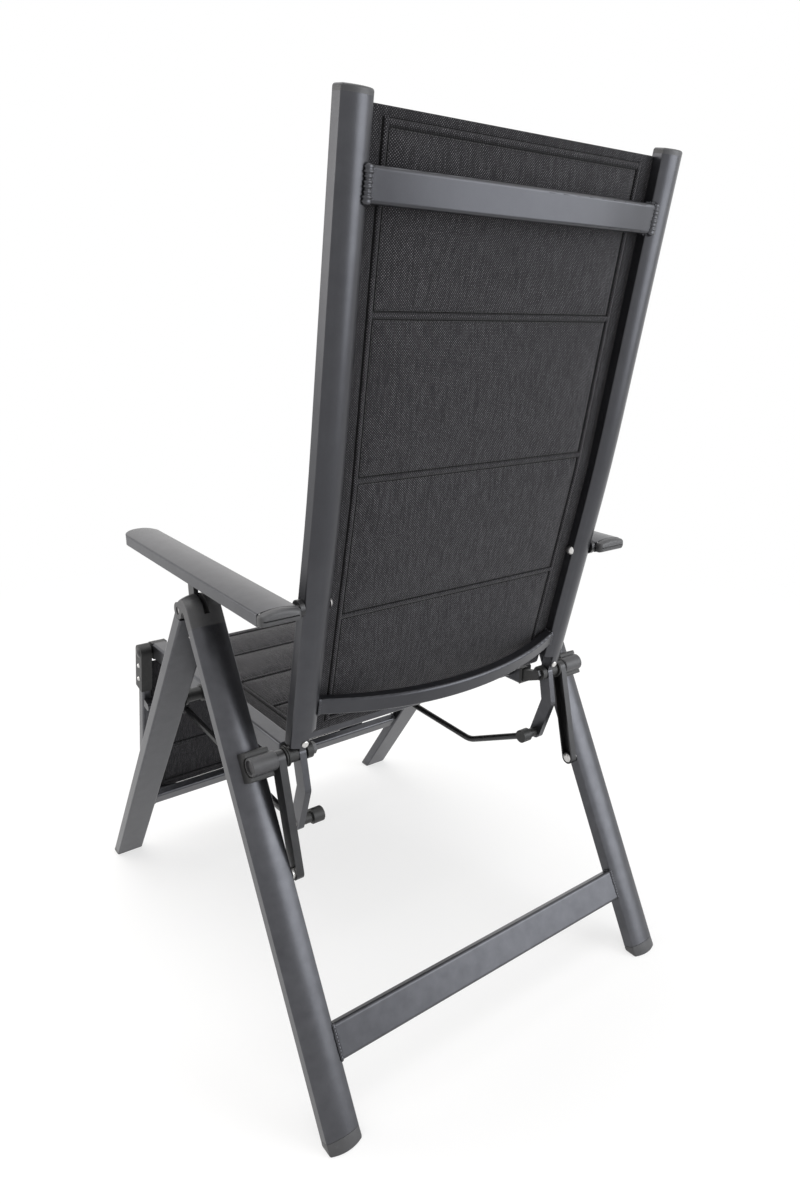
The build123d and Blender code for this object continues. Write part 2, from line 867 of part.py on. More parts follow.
def back_tube(side):
    """Side tube of the back, notched at its foot for the seat's eye and bored for the armrest's bolt."""
    middle = side * tube_middle
    with BuildPart() as tube:
        add(tube_solid(middle, tube_low, back_height, tube_outline))
        add(tube_solid(middle, tube_low, back_height, tube_bore), mode=Mode.SUBTRACT)
        with BuildSketch(side_plane(side, tube_inner - tube_wall)):
            with BuildLine():
                reach = tube_depth
                low = (axle_back, tube_low - tube_depth)
                notch = back_at(axle_height + tube_notch)
                Polyline(
                    (low[0] - reach, low[1]),
                    (low[0] + reach + tube_depth, low[1]),
                    (notch[0] + reach, notch[1] - tube_depth / 2),
                    (notch[0] - reach, notch[1]),
                    close=True,
                )
            make_face()
        extrude(amount=side * (lever_inner - tube_inner + tube_wall - air), mode=Mode.SUBTRACT)
        with BuildSketch(side_plane(side, tube_inner - tube_wall)):
            with Locations(arm_pivot):
                Circle(arm_bolt_radius + running)
        extrude(amount=side * (tube_width + 2 * tube_wall), mode=Mode.SUBTRACT)
    return tube.part


def back_cap(side):
    """Domed cap on the top of a back tube."""
    top = back_at(back_height)
    with BuildPart() as cap:
        with BuildSketch(run_plane(side * tube_middle, top, 90 - upper_lean, 1)):
            add(tube_outline)
        extrude(amount=cap_height)
        face = cap.faces().sort_by(Axis.Z)[-1]
        fillet(face.edges(), radius=cap_height * cap_rounding_share)
    return cap.part


def bowed_bar(half, place, angle, tall, deep, bow, edge):
    """Cross bar along X whose middle bows to the rear; its ends meet the side tubes."""
    middle = stepped(place, angle, 0, -bow)
    with BuildPart() as bar:
        with BuildLine() as path:
            ThreePointArc((-half, *place), (0, *middle), (half, *place))
        arc = path.wires()[0]
        start = Plane(origin=arc @ 0, x_dir=(0, *turned(angle)), z_dir=arc % 0)
        with BuildSketch(start):
            RectangleRounded(tall, deep, edge)
        sweep(path=arc)
        for end in (-1, 1):
            outside = Plane(origin=(end * half, 0, 0), x_dir=(0, 1, 0), z_dir=(end, 0, 0))
            split(bisect_by=outside, keep=Keep.BOTTOM)
    return bar.part


def back_bar(height, tall, bow, setback):
    """Bowed bar between the back tubes, square to their lean."""
    lean = lower_lean if height < bend_height else upper_lean
    place = stepped(back_at(height), 90 - lean, 0, -setback)
    return bowed_bar(tube_inner, place, 90 - lean, tall, bar_depth, bow, bar_edge)


def lever(side):
    """Flat bar riveted in the back tube's foot, cranked below the axle."""
    shank_top = back_at(axle_height + lever_shank)
    with BuildPart() as bar:
        with BuildSketch(side_plane(side, lever_inner)):
            for first, last, width in (
                (axle, shank_top, lever_shank_width),
                (axle, lever_elbow, lever_width),
                (lever_elbow, lever_end, lever_width),
            ):
                spot, length = between(first, last)
                with Locations(spot):
                    SlotCenterToCenter(length, width)
            with Locations(axle):
                Circle(axle_radius + running, mode=Mode.SUBTRACT)
            with Locations(lever_end):
                Circle(rod_pin_radius + running, mode=Mode.SUBTRACT)
        extrude(amount=side * lever_thickness)
    return bar.part


def lever_rivet(side):
    """Rivet head on the rear of the tube's foot."""
    lean = 90 - lower_lean
    spot = stepped(back_at(axle_height + lever_rivet_place), lean, 0, -tube_depth / 2)
    middle = lever_inner + lever_thickness / 2
    outward = (0, *turned(lean - 90))
    with BuildPart() as head:
        with BuildSketch(Plane(origin=(side * middle, *spot), x_dir=(1, 0, 0), z_dir=outward)):
            Circle(lever_rivet_radius)
        extrude(amount=lever_rivet_head)
        chamfer(head.faces().sort_by(Axis((0, *spot), outward))[-1].edges(), lever_rivet_head / 2)
    return head.part


for side, word in ((1, "left"), (-1, "right")):
    keep(back_tube(side), f"back_tube_{word}")
    keep(lever(side), f"back_lever_{word}")
keep(group(back_cap(side) for side in sides), "back_caps")
keep(back_bar(upper_bar_height, upper_bar_tall, upper_bar_bow, upper_bar_setback), "back_upper_crossbar")
keep(back_bar(lower_bar_height, lower_bar_tall, lower_bar_bow, lower_bar_setback), "back_lower_crossbar")
keep(group(lever_rivet(side) for side in sides), "lever_rivets")


# Armrests
def on_arm(forward, up):
    """Point of the armrest from its pivot, forward along its length and square up."""
    return stepped(arm_pivot, arm_angle, forward, -up)


def arm_section():
    """Armrest section: a crowned top and flat sides."""
    high = arm_thickness - arm_bottom_drop
    low = -arm_bottom_drop
    half = arm_width / 2
    with BuildSketch(Plane.XY) as section:
        with BuildLine():
            Polyline((-half, high - arm_crown), (-half, low), (half, low), (half, high - arm_crown))
            ThreePointArc((half, high - arm_crown), (0, high), (-half, high - arm_crown))
        make_face()
        fillet(section.vertices().group_by(Axis.Y)[-1], radius=arm_edge)
    return section.sketch


def armrest(side):
    """Crowned armrest with a rounded nose, open below for the rack."""
    middle = side * (arm_inner + arm_width / 2)
    length = arm_reach + arm_tail - arm_cap
    bore_high = arm_thickness - arm_bottom_drop - arm_wall
    start = Plane(
        origin=(middle, *on_arm(-arm_tail + arm_cap, 0)), x_dir=(1, 0, 0), z_dir=(0, *turned(arm_angle))
    )
    plan = Plane(origin=(middle, *on_arm(0, 0)), x_dir=(0, *turned(arm_angle)), z_dir=(0, *turned(arm_angle - 90)))
    with BuildPart() as arm:
        with BuildSketch(start):
            add(arm_section())
        extrude(amount=length)
        with BuildSketch(plan.offset(-arm_thickness)):
            with Locations((arm_reach - length, 0)):
                RectangleRounded(2 * length, arm_width, arm_nose_radius)
        extrude(amount=2 * arm_thickness, mode=Mode.INTERSECT)
        with BuildSketch(start.offset(-cut_over)):
            with Locations((0, bore_high - arm_thickness)):
                Rectangle(arm_width - 2 * arm_wall, 2 * arm_thickness)
        extrude(amount=length + cut_over - arm_nose_radius, mode=Mode.SUBTRACT)
        with BuildSketch(side_plane(side, arm_inner)):
            with Locations(arm_pivot):
                Circle(arm_bolt_radius + running)
        extrude(amount=side * arm_wall, mode=Mode.SUBTRACT)
    return arm.part


def arm_rear_cap(side):
    """Rounded plastic cap on the armrest's tail."""
    middle = side * (arm_inner + arm_width / 2)
    rearward = (0, *turned(arm_angle + 180))
    start = Plane(origin=(middle, *on_arm(-arm_tail + arm_cap, 0)), x_dir=(1, 0, 0), z_dir=rearward)
    with BuildPart() as cap:
        with BuildSketch(start):
            add(arm_section())
        extrude(amount=arm_cap)
        far = cap.faces().sort_by(Axis((0, *arm_pivot), rearward))[-1]
        fillet(far.edges(), radius=arm_cap_rounding)
    return cap.part


def arm_rack(side):
    """Plastic rack in the armrest's channel, slotted and scalloped for the tongue's pin."""
    high = arm_thickness - arm_bottom_drop - arm_wall - air
    low = -arm_bottom_drop + arm_wall / 3
    ceiling = tongue_pin_up() + tongue_pin_radius + air
    slot_rear, slot_front = tongue_run - rack_slot_behind, tongue_run + rack_slot_ahead
    rear, front = slot_rear - rack_wall_behind, slot_front + rack_wall_ahead
    step = (slot_front - rack_last_notch - tongue_run) / (rack_notches - 1)
    crown = ceiling + rack_notch_depth - rack_notch_radius
    with BuildPart() as rack:
        with BuildSketch(side_plane(side, leg_middle - rack_width / 2)):
            with BuildLine():
                corners = ((rear, low), (front, low), (front, high), (rear, high))
                Polyline(*(on_arm(*corner) for corner in corners), close=True)
            make_face()
        extrude(amount=side * rack_width)
        with BuildSketch(side_plane(side, leg_middle - rack_slot / 2)):
            with BuildLine():
                bottom = low - arm_wall
                corners = ((slot_rear, bottom), (slot_front, bottom), (slot_front, ceiling), (slot_rear, ceiling))
                Polyline(*(on_arm(*corner) for corner in corners), close=True)
            make_face()
            with Locations(*(on_arm(tongue_run + step * i, crown) for i in range(rack_notches))):
                Circle(rack_notch_radius)
        extrude(amount=side * rack_slot, mode=Mode.SUBTRACT)
    return rack.part


def tongue_pin_up():
    """Height of the tongue's pin square to the armrest, from its pivot."""
    rise = hinge_height + tongue_height - arm_pivot[1]
    return (rise - tongue_run * sin(radians(arm_tilt))) * cos(radians(arm_tilt))


def arm_bolt(side):
    """Bolt from the inner side of the back tube into the armrest's wall."""
    with BuildPart() as body:
        add(pin(side, arm_pivot, arm_bolt_radius, tube_inner - air, arm_inner + arm_wall + air))
        add(dome(side, arm_pivot, arm_bolt_head, arm_bolt_head_height, tube_inner - air, -1))
        add(pin(side, arm_pivot, arm_bolt_tail, arm_inner + arm_wall + air, arm_inner + 3 * arm_wall))
    return body.part


spacer_inner, spacer_outer = tube_outer + air, arm_inner - spacer_gap - 2 * air
bolt_bore = arm_bolt_radius + running
for side, word in ((1, "left"), (-1, "right")):
    keep(armrest(side), f"armrest_{word}")
keep(group(arm_rear_cap(side) for side in sides), "armrest_caps")
keep(group(arm_rack(side) for side in sides), "armrest_racks")
keep(group(arm_bolt(side) for side in sides), "arm_bolts")
keep(
    group(ring(side, arm_pivot, spacer_radius, bolt_bore, spacer_inner, spacer_outer, edge=air) for side in sides),
    "arm_spacers",
)


# Footrest
foot_rail_inner = rail_outer + foot_rail_gap
foot_rail_middle = foot_rail_inner + foot_rail_width / 2


def foot_rail(side):
    """Hollow side rail of the footrest."""
    point = on_footrest(bracket_reach, 0)
    with BuildPart() as rail:
        with BuildSketch(run_plane(side * foot_rail_middle, point, foot_angle, 1)):
            RectangleRounded(foot_rail_width, foot_rail_depth, foot_rail_edge)
            offset(amount=-foot_rail_wall, mode=Mode.SUBTRACT)
        extrude(amount=foot_length - bracket_reach)
    return rail.part


def foot_bracket(side):
    """Corner bracket: an eye on the seat's nose, a cheek and a plug in the rail."""
    with BuildPart() as bracket:
        with BuildSketch(side_plane(side, foot_rail_inner)):
            with Locations(Location((*on_footrest(bracket_reach / 2, 0), 0), (0, 0, foot_angle))):
                Rectangle(bracket_reach, bracket_depth)
            with Locations(seat_nose_point):
                Circle(bracket_depth / 2)
            with Locations(seat_nose_point):
                Circle(foot_pin_radius + running, mode=Mode.SUBTRACT)
        extrude(amount=side * bracket_width)
        with BuildSketch(run_plane(side * foot_rail_middle, on_footrest(bracket_reach, 0), foot_angle, 1)):
            shrink = 2 * (foot_rail_wall + air)
            RectangleRounded(foot_rail_width - shrink, foot_rail_depth - shrink, foot_rail_edge - foot_rail_wall)
        extrude(amount=bracket_plug)
    return bracket.part


def foot_rivet(side, place):
    return dome(side, on_footrest(place, 0), rivet_radius, rivet_head_height, bracket_outer)


def foot_pin(side):
    """Hinge pin of the footrest, with a domed head outside the bracket."""
    with BuildPart() as body:
        add(pin(side, seat_nose_point, foot_pin_radius, rail_inner + rail_wall, bracket_outer + air))
        add(dome(side, seat_nose_point, foot_pin_head, foot_pin_head_height, bracket_outer + air))
    return body.part


def foot_cross_tube():
    """Round tube behind the footrest's padding, with its end tabs and the lugs that take the rods."""
    spot = on_footrest(foot_bar_place, foot_bar_back)
    lug = rod_front_middle + rod_tip_width / 2 + 2 * air
    reach = foot_rail_inner + foot_rail_width - foot_rail_wall
    lug_spot, lug_run = between(spot, rod_pivot)
    tab_low = foot_rail_depth / 2
    tab_spot = Location((*on_footrest(foot_bar_place, (tab_low + foot_bar_back) / 2), 0), (0, 0, foot_angle))
    with BuildPart() as tube:
        with BuildSketch(side_plane(-1, reach)):
            with Locations(spot):
                Circle(foot_bar_radius)
        extrude(amount=2 * reach)
        for side in sides:
            with BuildSketch(side_plane(side, lug)):
                with Locations(lug_spot):
                    SlotCenterToCenter(lug_run, 2 * lug_radius)
            extrude(amount=side * lug_thickness)
            with BuildSketch(side_plane(side, foot_rail_inner + foot_rail_wall)):
                with Locations(tab_spot):
                    Rectangle(2 * foot_bar_radius, foot_bar_back - tab_low)
            extrude(amount=side * (reach - foot_rail_inner - foot_rail_wall))
            add(dome(side, rod_pivot, rivet_radius, rivet_head_height, lug + lug_thickness))
    return tube.part


bracket_outer = foot_rail_inner + bracket_width
keep(group(foot_rail(side) for side in sides), "footrest_rails")
keep(group(foot_bracket(side) for side in sides), "footrest_brackets")
rivet_places = [share * bracket_reach for share in foot_rivet_shares]
keep(group(foot_rivet(side, place) for side in sides for place in rivet_places), "footrest_rivets")
keep(group(foot_pin(side) for side in sides), "footrest_pins")
keep(
    bowed_bar(
        foot_rail_inner, on_footrest(bottom_bar_place, bottom_bar_back), foot_angle + 180,
        bottom_bar_tall, bottom_bar_deep, bottom_bar_bow, bar_edge / 2,
    ),
    "footrest_lower_bar",
)


# Rods
def rod(side):
    """Round rod from the lever's end to the footrest, bent once below the seat."""
    rear = (side * rod_rear_middle, *lever_end)
    middle = (rod_rear_middle + rod_front_middle) / 2
    bend = (side * middle, lever_end[0] - rod_bend_run, lever_end[1] - rod_bend_drop)
    front = (side * rod_front_middle, *rod_pivot)
    with BuildPart() as bar:
        with BuildLine() as path:
            FilletPolyline(rear, bend, front, radius=rod_bend_radius)
        wire = path.wires()[0]
        with BuildSketch(Plane(origin=wire @ 0, z_dir=wire % 0)):
            Circle(rod_radius)
        sweep(path=wire)
        near, far = middle - cut_over, middle + cut_over
        add(pin(side, lever_end, rod_end_radius - air, near, far), mode=Mode.SUBTRACT)
        add(pin(side, rod_pivot, rod_tip_radius - air, near, far), mode=Mode.SUBTRACT)
    return bar.part


def rod_end(side):
    """Knuckle of the rod at the lever, on a neck that takes the pin."""
    start = rod_rear_middle - rod_end_width / 2
    with BuildPart() as knuckle:
        add(ring(side, lever_end, rod_end_radius, 0, start, start + rod_end_width, edge=rod_end_edge))
        add(pin(side, lever_end, rod_neck_radius, rod_rear_middle, lever_inner - air))
        with BuildSketch(side_plane(side, rod_rear_middle)):
            with Locations(lever_end):
                Circle(rod_pin_radius + running)
        extrude(amount=side * cut_over, mode=Mode.SUBTRACT)
        add(rod(side), mode=Mode.SUBTRACT)
    return knuckle.part


def rod_tip(side):
    """Eye of the rod beside the footrest's lug."""
    start = rod_front_middle - rod_tip_width / 2
    with BuildPart() as tip:
        add(ring(side, rod_pivot, rod_tip_radius, 0, start, start + rod_tip_width, edge=rod_end_edge))
        add(dome(side, rod_pivot, rivet_head_radius, rivet_head_height, start, -1))
        add(rod(side), mode=Mode.SUBTRACT)
    return tip.part


def rod_pin(side):
    """Pin through the lever into the rod's knuckle, with a domed head outside."""
    with BuildPart() as body:
        add(pin(side, lever_end, rod_pin_radius, rod_rear_middle + rod_end_width / 4, lever_outer + air))
        add(dome(side, lever_end, rivet_head_radius, rivet_head_height, lever_outer + air))
    return body.part


keep(foot_cross_tube(), "footrest_upper_bar")
keep(group(rod(side) for side in sides), "rods")
keep(group(rod_end(side) for side in sides), "rod_ends")
keep(group(rod_tip(side) for side in sides), "rod_tips")
keep(group(rod_pin(side) for side in sides), "rod_pins")


# Padded panels
def swelling(place, first, last, swell, up):
    """Arc of one channel between two seams; place turns (along, out) into a side-view point."""
    edge = up * pad_seam_thickness / 2
    middle = place((first + last) / 2, up * (pad_seam_thickness / 2 + swell))
    return ThreePointArc(place(first, edge), middle, place(last, edge))


def padded_panel(place, seams, half, path):
    """Panel with sewn channels across it, a crown from side to side and a thin band along each edge."""
    inner = half - pad_band
    rim = pad_seam_thickness / 2
    start = path @ 0
    across = Plane(origin=start, x_dir=(1, 0, 0), z_dir=path % 0)
    with BuildPart() as panel:
        with BuildSketch(Plane.YZ.offset(-inner)):
            with BuildLine():
                for first, last in zip(seams, seams[1:]):
                    swelling(place, first, last, pad_swell, 1)
                Line(place(seams[-1], rim), place(seams[-1], -rim))
                for last, first in zip(seams[::-1], seams[-2::-1]):
                    swelling(place, last, first, pad_swell, -1)
                Line(place(seams[0], -rim), place(seams[0], rim))
            make_face()
        extrude(amount=2 * inner)
        with BuildSketch(across):
            with BuildLine():
                ThreePointArc((-inner, rim), (0, pad_lens), (inner, rim))
                Line((inner, rim), (inner, -rim))
                ThreePointArc((inner, -rim), (0, -pad_lens), (-inner, -rim))
                Line((-inner, -rim), (-inner, rim))
            make_face()
        sweep(path=path, mode=Mode.INTERSECT)
        with BuildSketch(across):
            Rectangle(2 * half, pad_seam_thickness)
        sweep(path=path)
    return panel.part


def side_line(points, radius=0):
    """Wire through side-view points in the chair's middle plane, its corners rounded."""
    spots = [(0, *point) for point in points]
    if radius:
        return FilletPolyline(*spots, radius=radius).wires()[0]
    return Polyline(*spots).wires()[0]


def seat_place(along, out):
    """Point of the seat panel along the seat, moved up."""
    return (along, rail_middle_height + rail_height / 2 - seat_pad_sink + out)


def foot_place(along, out):
    """Point of the footrest panel along the footrest, moved out to the front."""
    return on_footrest(along, -out)


def back_place(height, out):
    """Point of the back panel at a height of the tubes, moved out to the front."""
    lean = lower_lean if height < bend_height else upper_lean
    return stepped(back_at(height), 90 - lean, 0, back_pad_lead + out)


def seams_between(first, last, shares):
    """Places of a panel's two ends and of the seams between them."""
    return (first, *(first + share * (last - first) for share in shares), last)


seat_seams = seams_between(seat_pad_inset_front - rail_front, rail_rear - seat_pad_inset_rear, seat_seam_shares)
seat_path = side_line((seat_place(seat_seams[0], 0), seat_place(seat_seams[-1], 0)))
back_seams = seams_between(axle_height + back_pad_rise, back_height, back_seam_shares)
back_corner = stepped(back_at(bend_height), 90 - (lower_lean + upper_lean) / 2, 0, back_pad_lead)
back_line = (back_place(back_seams[0], 0), back_corner, back_place(back_seams[-1], 0))
back_path = side_line(back_line, radius=bend_radius)
foot_seams = seams_between(foot_pad_top, foot_length, foot_seam_shares)
foot_path = side_line((foot_place(foot_seams[0], 0), foot_place(foot_seams[-1], 0)))
keep(padded_panel(seat_place, seat_seams, rail_inner - pad_side_gap, seat_path), "seat_pad")
keep(padded_panel(back_place, back_seams, tube_inner - pad_side_gap, back_path), "back_pad")
keep(padded_panel(foot_place, foot_seams, foot_rail_inner - pad_side_gap, foot_path), "footrest_pad")
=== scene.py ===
"""Looks of a reclining garden armchair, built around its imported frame, in metres.

+X is the sitter's left, -Y the front and +Z up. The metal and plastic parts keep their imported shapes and
get node finishes. The padded panels, feet, armrest ends, welds, hem and stitches are made here.
"""
import json
from math import asin, atan2, cos, hypot, pi, radians, sin, tan

import bmesh
import bpy
import numpy as np
from mathutils import Matrix, Vector


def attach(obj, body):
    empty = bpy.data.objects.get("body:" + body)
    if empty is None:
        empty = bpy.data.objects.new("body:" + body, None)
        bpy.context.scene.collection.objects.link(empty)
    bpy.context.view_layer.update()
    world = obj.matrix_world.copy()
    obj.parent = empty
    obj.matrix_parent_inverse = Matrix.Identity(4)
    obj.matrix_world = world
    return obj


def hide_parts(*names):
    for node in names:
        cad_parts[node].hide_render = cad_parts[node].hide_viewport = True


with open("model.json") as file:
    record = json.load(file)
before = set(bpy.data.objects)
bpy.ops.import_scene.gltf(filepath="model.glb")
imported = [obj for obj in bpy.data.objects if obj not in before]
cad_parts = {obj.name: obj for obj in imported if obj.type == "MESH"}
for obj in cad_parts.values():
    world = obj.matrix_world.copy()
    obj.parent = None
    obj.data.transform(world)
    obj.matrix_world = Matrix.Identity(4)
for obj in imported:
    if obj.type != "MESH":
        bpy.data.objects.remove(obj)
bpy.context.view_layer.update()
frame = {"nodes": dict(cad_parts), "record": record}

nodes = frame["nodes"]
MM = 0.001


# Shader sums
class Value:
    """A shader socket that can be used in plain expressions, each of which adds its Math nodes."""

    def __init__(self, tree, socket):
        self.tree = tree
        self.socket = socket

    def sum_with(self, operation, *items):
        """Result of one Math node on values or plain numbers."""
        node = self.tree.nodes.new("ShaderNodeMath")
        node.operation = operation
        for place, item in zip(node.inputs, items):
            if isinstance(item, Value):
                self.tree.links.new(item.socket, place)
            else:
                place.default_value = item
        return Value(self.tree, node.outputs[0])

    def __add__(self, other):
        return self.sum_with("ADD", self, other)

    def __radd__(self, other):
        return self.sum_with("ADD", other, self)

    def __sub__(self, other):
        return self.sum_with("SUBTRACT", self, other)

    def __rsub__(self, other):
        return self.sum_with("SUBTRACT", other, self)

    def __mul__(self, other):
        return self.sum_with("MULTIPLY", self, other)

    def __rmul__(self, other):
        return self.sum_with("MULTIPLY", other, self)

    def __truediv__(self, other):
        return self.sum_with("DIVIDE", self, other)

    def __pow__(self, other):
        return self.sum_with("POWER", self, other)

    def sine(self):
        return self.sum_with("SINE", self)

    def size(self):
        return self.sum_with("ABSOLUTE", self)

    def most(self, other):
        return self.sum_with("MAXIMUM", self, other)

    def least(self, other):
        return self.sum_with("MINIMUM", self, other)

    def held(self):
        """The value kept between 0 and 1."""
        return self.most(0.0).least(1.0)


class NodeTree:
    """Shader nodes of a material or a world."""

    def __init__(self, owner):
        owner.use_nodes = True
        self.tree = owner.node_tree

    def join(self, socket, item):
        """Links a value or a node's output to a socket, or sets the socket to plain numbers."""
        if isinstance(item, Value):
            self.tree.links.new(item.socket, socket)
        elif isinstance(item, bpy.types.NodeSocket):
            self.tree.links.new(item, socket)
        elif socket.type == "RGBA":
            socket.default_value = (*item, 1.0)
        else:
            socket.default_value = item

    def make(self, kind, settings=None, inputs=None):
        """Adds one node, its settings first and then the values or links of its sockets."""
        node = self.tree.nodes.new(kind)
        for name, value in (settings or {}).items():
            if name == "stops":
                ramp = node.color_ramp
                while len(ramp.elements) < len(value):
                    ramp.elements.new(1.0)
                for element, (position, colour) in zip(ramp.elements, value):
                    element.position = position
                    element.color = (*colour, 1.0)
            else:
                setattr(node, name, value)
        for name, item in (inputs or {}).items():
            self.join(node.inputs[name], item)
        return node

    def seen(self):
        """1 on rays from the camera or off a shiny surface, and 0 on those that light the chair."""
        rays = self.make("ShaderNodeLightPath").outputs
        return Value(self.tree, rays["Is Camera Ray"]).most(Value(self.tree, rays["Is Glossy Ray"]))


class Finish(NodeTree):
    """A surface finish made of shader nodes."""

    def __init__(self, name, roughness, metallic=0.0, **fixed):
        self.material = bpy.data.materials.new(name)
        super().__init__(self.material)
        self.shader = self.tree.nodes["Principled BSDF"]
        self.shader.inputs["Roughness"].default_value = roughness
        self.shader.inputs["Metallic"].default_value = metallic
        for socket, value in fixed.items():
            self.shader.inputs[socket.replace("_", " ")].default_value = value
        self.spot = self.make("ShaderNodeTexCoord").outputs["Object"]
        parts = self.make("ShaderNodeSeparateXYZ", inputs={"Vector": self.spot})
        self.x, self.y, self.z = (Value(self.tree, parts.outputs[axis]) for axis in "XYZ")

    def noise(self, scale, detail=2.0, roughness=0.5, stretch=None):
        """Noise over the object's own space, from 0 to 1; stretch scales the three axes apart."""
        spot = self.spot
        if stretch:
            spot = self.make("ShaderNodeMapping", inputs={"Vector": spot, "Scale": stretch}).outputs[0]
        inputs = {"Vector": spot, "Scale": scale, "Detail": detail, "Roughness": roughness}
        return Value(self.tree, self.make("ShaderNodeTexNoise", inputs=inputs).outputs[0])

    def cells(self, scale):
        """Distance to the nearest of scattered points."""
        cells = self.make("ShaderNodeTexVoronoi", inputs={"Vector": self.spot, "Scale": scale})
        return Value(self.tree, cells.outputs["Distance"])

    def edges(self):
        """How sharply the surface turns outwards: about 0.5 where it is flat."""
        return Value(self.tree, self.make("ShaderNodeNewGeometry").outputs["Pointiness"])

    def colours(self, value, stops):
        """Colour read from stops by a value."""
        return self.make("ShaderNodeValToRGB", {"stops": stops}, {"Fac": value}).outputs[0]

    def mixed(self, share, first, second):
        """Colour part way between two colours."""
        return self.make("ShaderNodeMix", {"data_type": "RGBA"}, {0: share, 6: first, 7: second}).outputs[2]

    def feed(self, socket, item):
        """Joins a value or a colour to one of the shader's sockets."""
        self.join(self.shader.inputs[socket], item)

    def bump(self, height, strength, distance):
        """Relief from a height, in metres at full strength."""
        inputs = {"Height": height, "Strength": strength, "Distance": distance}
        self.feed("Normal", self.make("ShaderNodeBump", inputs=inputs).outputs[0])


def powder_coat(name, dark, light, metallic):
    """Baked metallic powder paint over aluminium: fine orange peel, faint mottling, paler rubbed edges."""
    coat = Finish(name, 0.36, metallic, Specular_IOR_Level=0.5, Coat_Weight=0.2, Coat_Roughness=0.24)
    grain = coat.noise(1500.0, 3.0)
    peel = coat.noise(420.0, 2.0)
    mottle = coat.noise(14.0, 4.0, 0.6)
    tone = (grain * 0.35 + mottle * 0.65).held()
    rubbed = ((coat.edges() - 0.54) * 9.0).held() * (coat.noise(60.0, 3.0) * 1.4).held()
    base = coat.colours(tone, [(0.3, dark), (0.7, light)])
    worn = tuple(channel * 1.5 + 0.02 for channel in light)
    coat.feed("Base Color", coat.mixed(rubbed * 0.55, base, worn))
    coat.feed("Roughness", 0.25 + grain * 0.1 + mottle * 0.08)
    coat.bump(peel * 0.6 + grain * 0.4, 0.14, 0.0004)
    return coat.material


def moulded(name, dark, light, roughness):
    """Moulded plastic with a fine spark-eroded grain."""
    plastic = Finish(name, roughness, 0.0, Specular_IOR_Level=0.45)
    grain = plastic.cells(1700.0)
    cloud = plastic.noise(35.0, 3.0)
    scuffs = (plastic.noise(240.0, 4.0, 0.7) - 0.56).held() * 2.0
    base = plastic.colours(cloud, [(0.3, dark), (0.7, light)])
    plastic.feed("Base Color", plastic.mixed(scuffs * 0.3, base, (0.2, 0.2, 0.2)))
    plastic.feed("Roughness", roughness + cloud * 0.12 - 0.06 + scuffs * 0.1)
    plastic.bump(grain, 0.22, 0.0003)
    return plastic.material


def plated_steel(name):
    """Bright zinc-plated steel with fine turning marks and a little grime."""
    steel = Finish(name, 0.3, 1.0)
    marks = steel.noise(900.0, 2.0, 0.5, (0.25, 1.0, 1.0))
    grime = (steel.noise(130.0, 4.0, 0.6) - 0.45).held() * 2.2
    clean, dull = (0.62, 0.61, 0.6), (0.3, 0.28, 0.26)
    steel.feed("Base Color", steel.mixed(grime.held() * 0.5, clean, dull))
    steel.feed("Roughness", 0.24 + marks * 0.16 + grime * 0.1)
    steel.bump(marks, 0.12, 0.0002)
    return steel.material


def sling_weave(name, lean):
    """Black woven sling textile: coated threads cross in small raised dots, with painted shade in the seam
    grooves and over the outer bands.
    """
    cloth = Finish(name, 0.8, 0.0, Specular_IOR_Level=0.22, Sheen_Weight=0.16, Sheen_Roughness=0.4)
    pitch = 2.8 * MM
    along = cloth.y * cos(lean) + cloth.z * sin(lean)
    drift = cloth.noise(90.0, 2.0) * 0.35
    warp = ((cloth.x / pitch + drift) * (2 * pi)).sine()
    weft = ((along / pitch + drift) * (2 * pi)).sine()
    dots = (warp * weft).most(0.0)
    thread = (warp * weft).size()
    slubs = cloth.noise(520.0, 2.0, 0.6, (1.0, 0.1, 0.1)) * 0.5 + cloth.noise(900.0, 1.0) * 0.5
    crest = (dots * ((slubs - 0.26) * 2.6).held()).held()
    between, side, top = (0.0095, 0.0092, 0.0105), (0.056, 0.054, 0.060), (0.29, 0.28, 0.30)
    base = cloth.colours(crest, [(0.0, between), (0.35, side), (1.0, top)])
    # Painted shade: the colour is darkened where the panel stores shade, in the seam grooves and over the
    # outer bands
    marks = cloth.make("ShaderNodeAttribute", {"attribute_name": "sewn_line"})
    sewn = Value(cloth.tree, marks.outputs["Fac"])
    cloth.feed("Base Color", cloth.mixed((sewn * 0.9).held(), base, (0.0025, 0.0025, 0.003)))
    cloth.feed("Roughness", 0.86 - crest * 0.3)
    cloth.bump(thread * 0.7 + crest * 0.3, 0.5, 0.0006)
    return cloth.material


def sewing_thread(name):
    """Twisted polyester thread."""
    thread = Finish(name, 0.6, 0.0, Sheen_Weight=0.15)
    twist = (thread.noise(2400.0, 1.0) * 1.2).held()
    dark, light = (0.008, 0.008, 0.009), (0.028, 0.028, 0.028)
    thread.feed("Base Color", thread.colours(twist, [(0.2, dark), (0.8, light)]))
    thread.bump(twist, 0.3, 0.0002)
    return thread.material


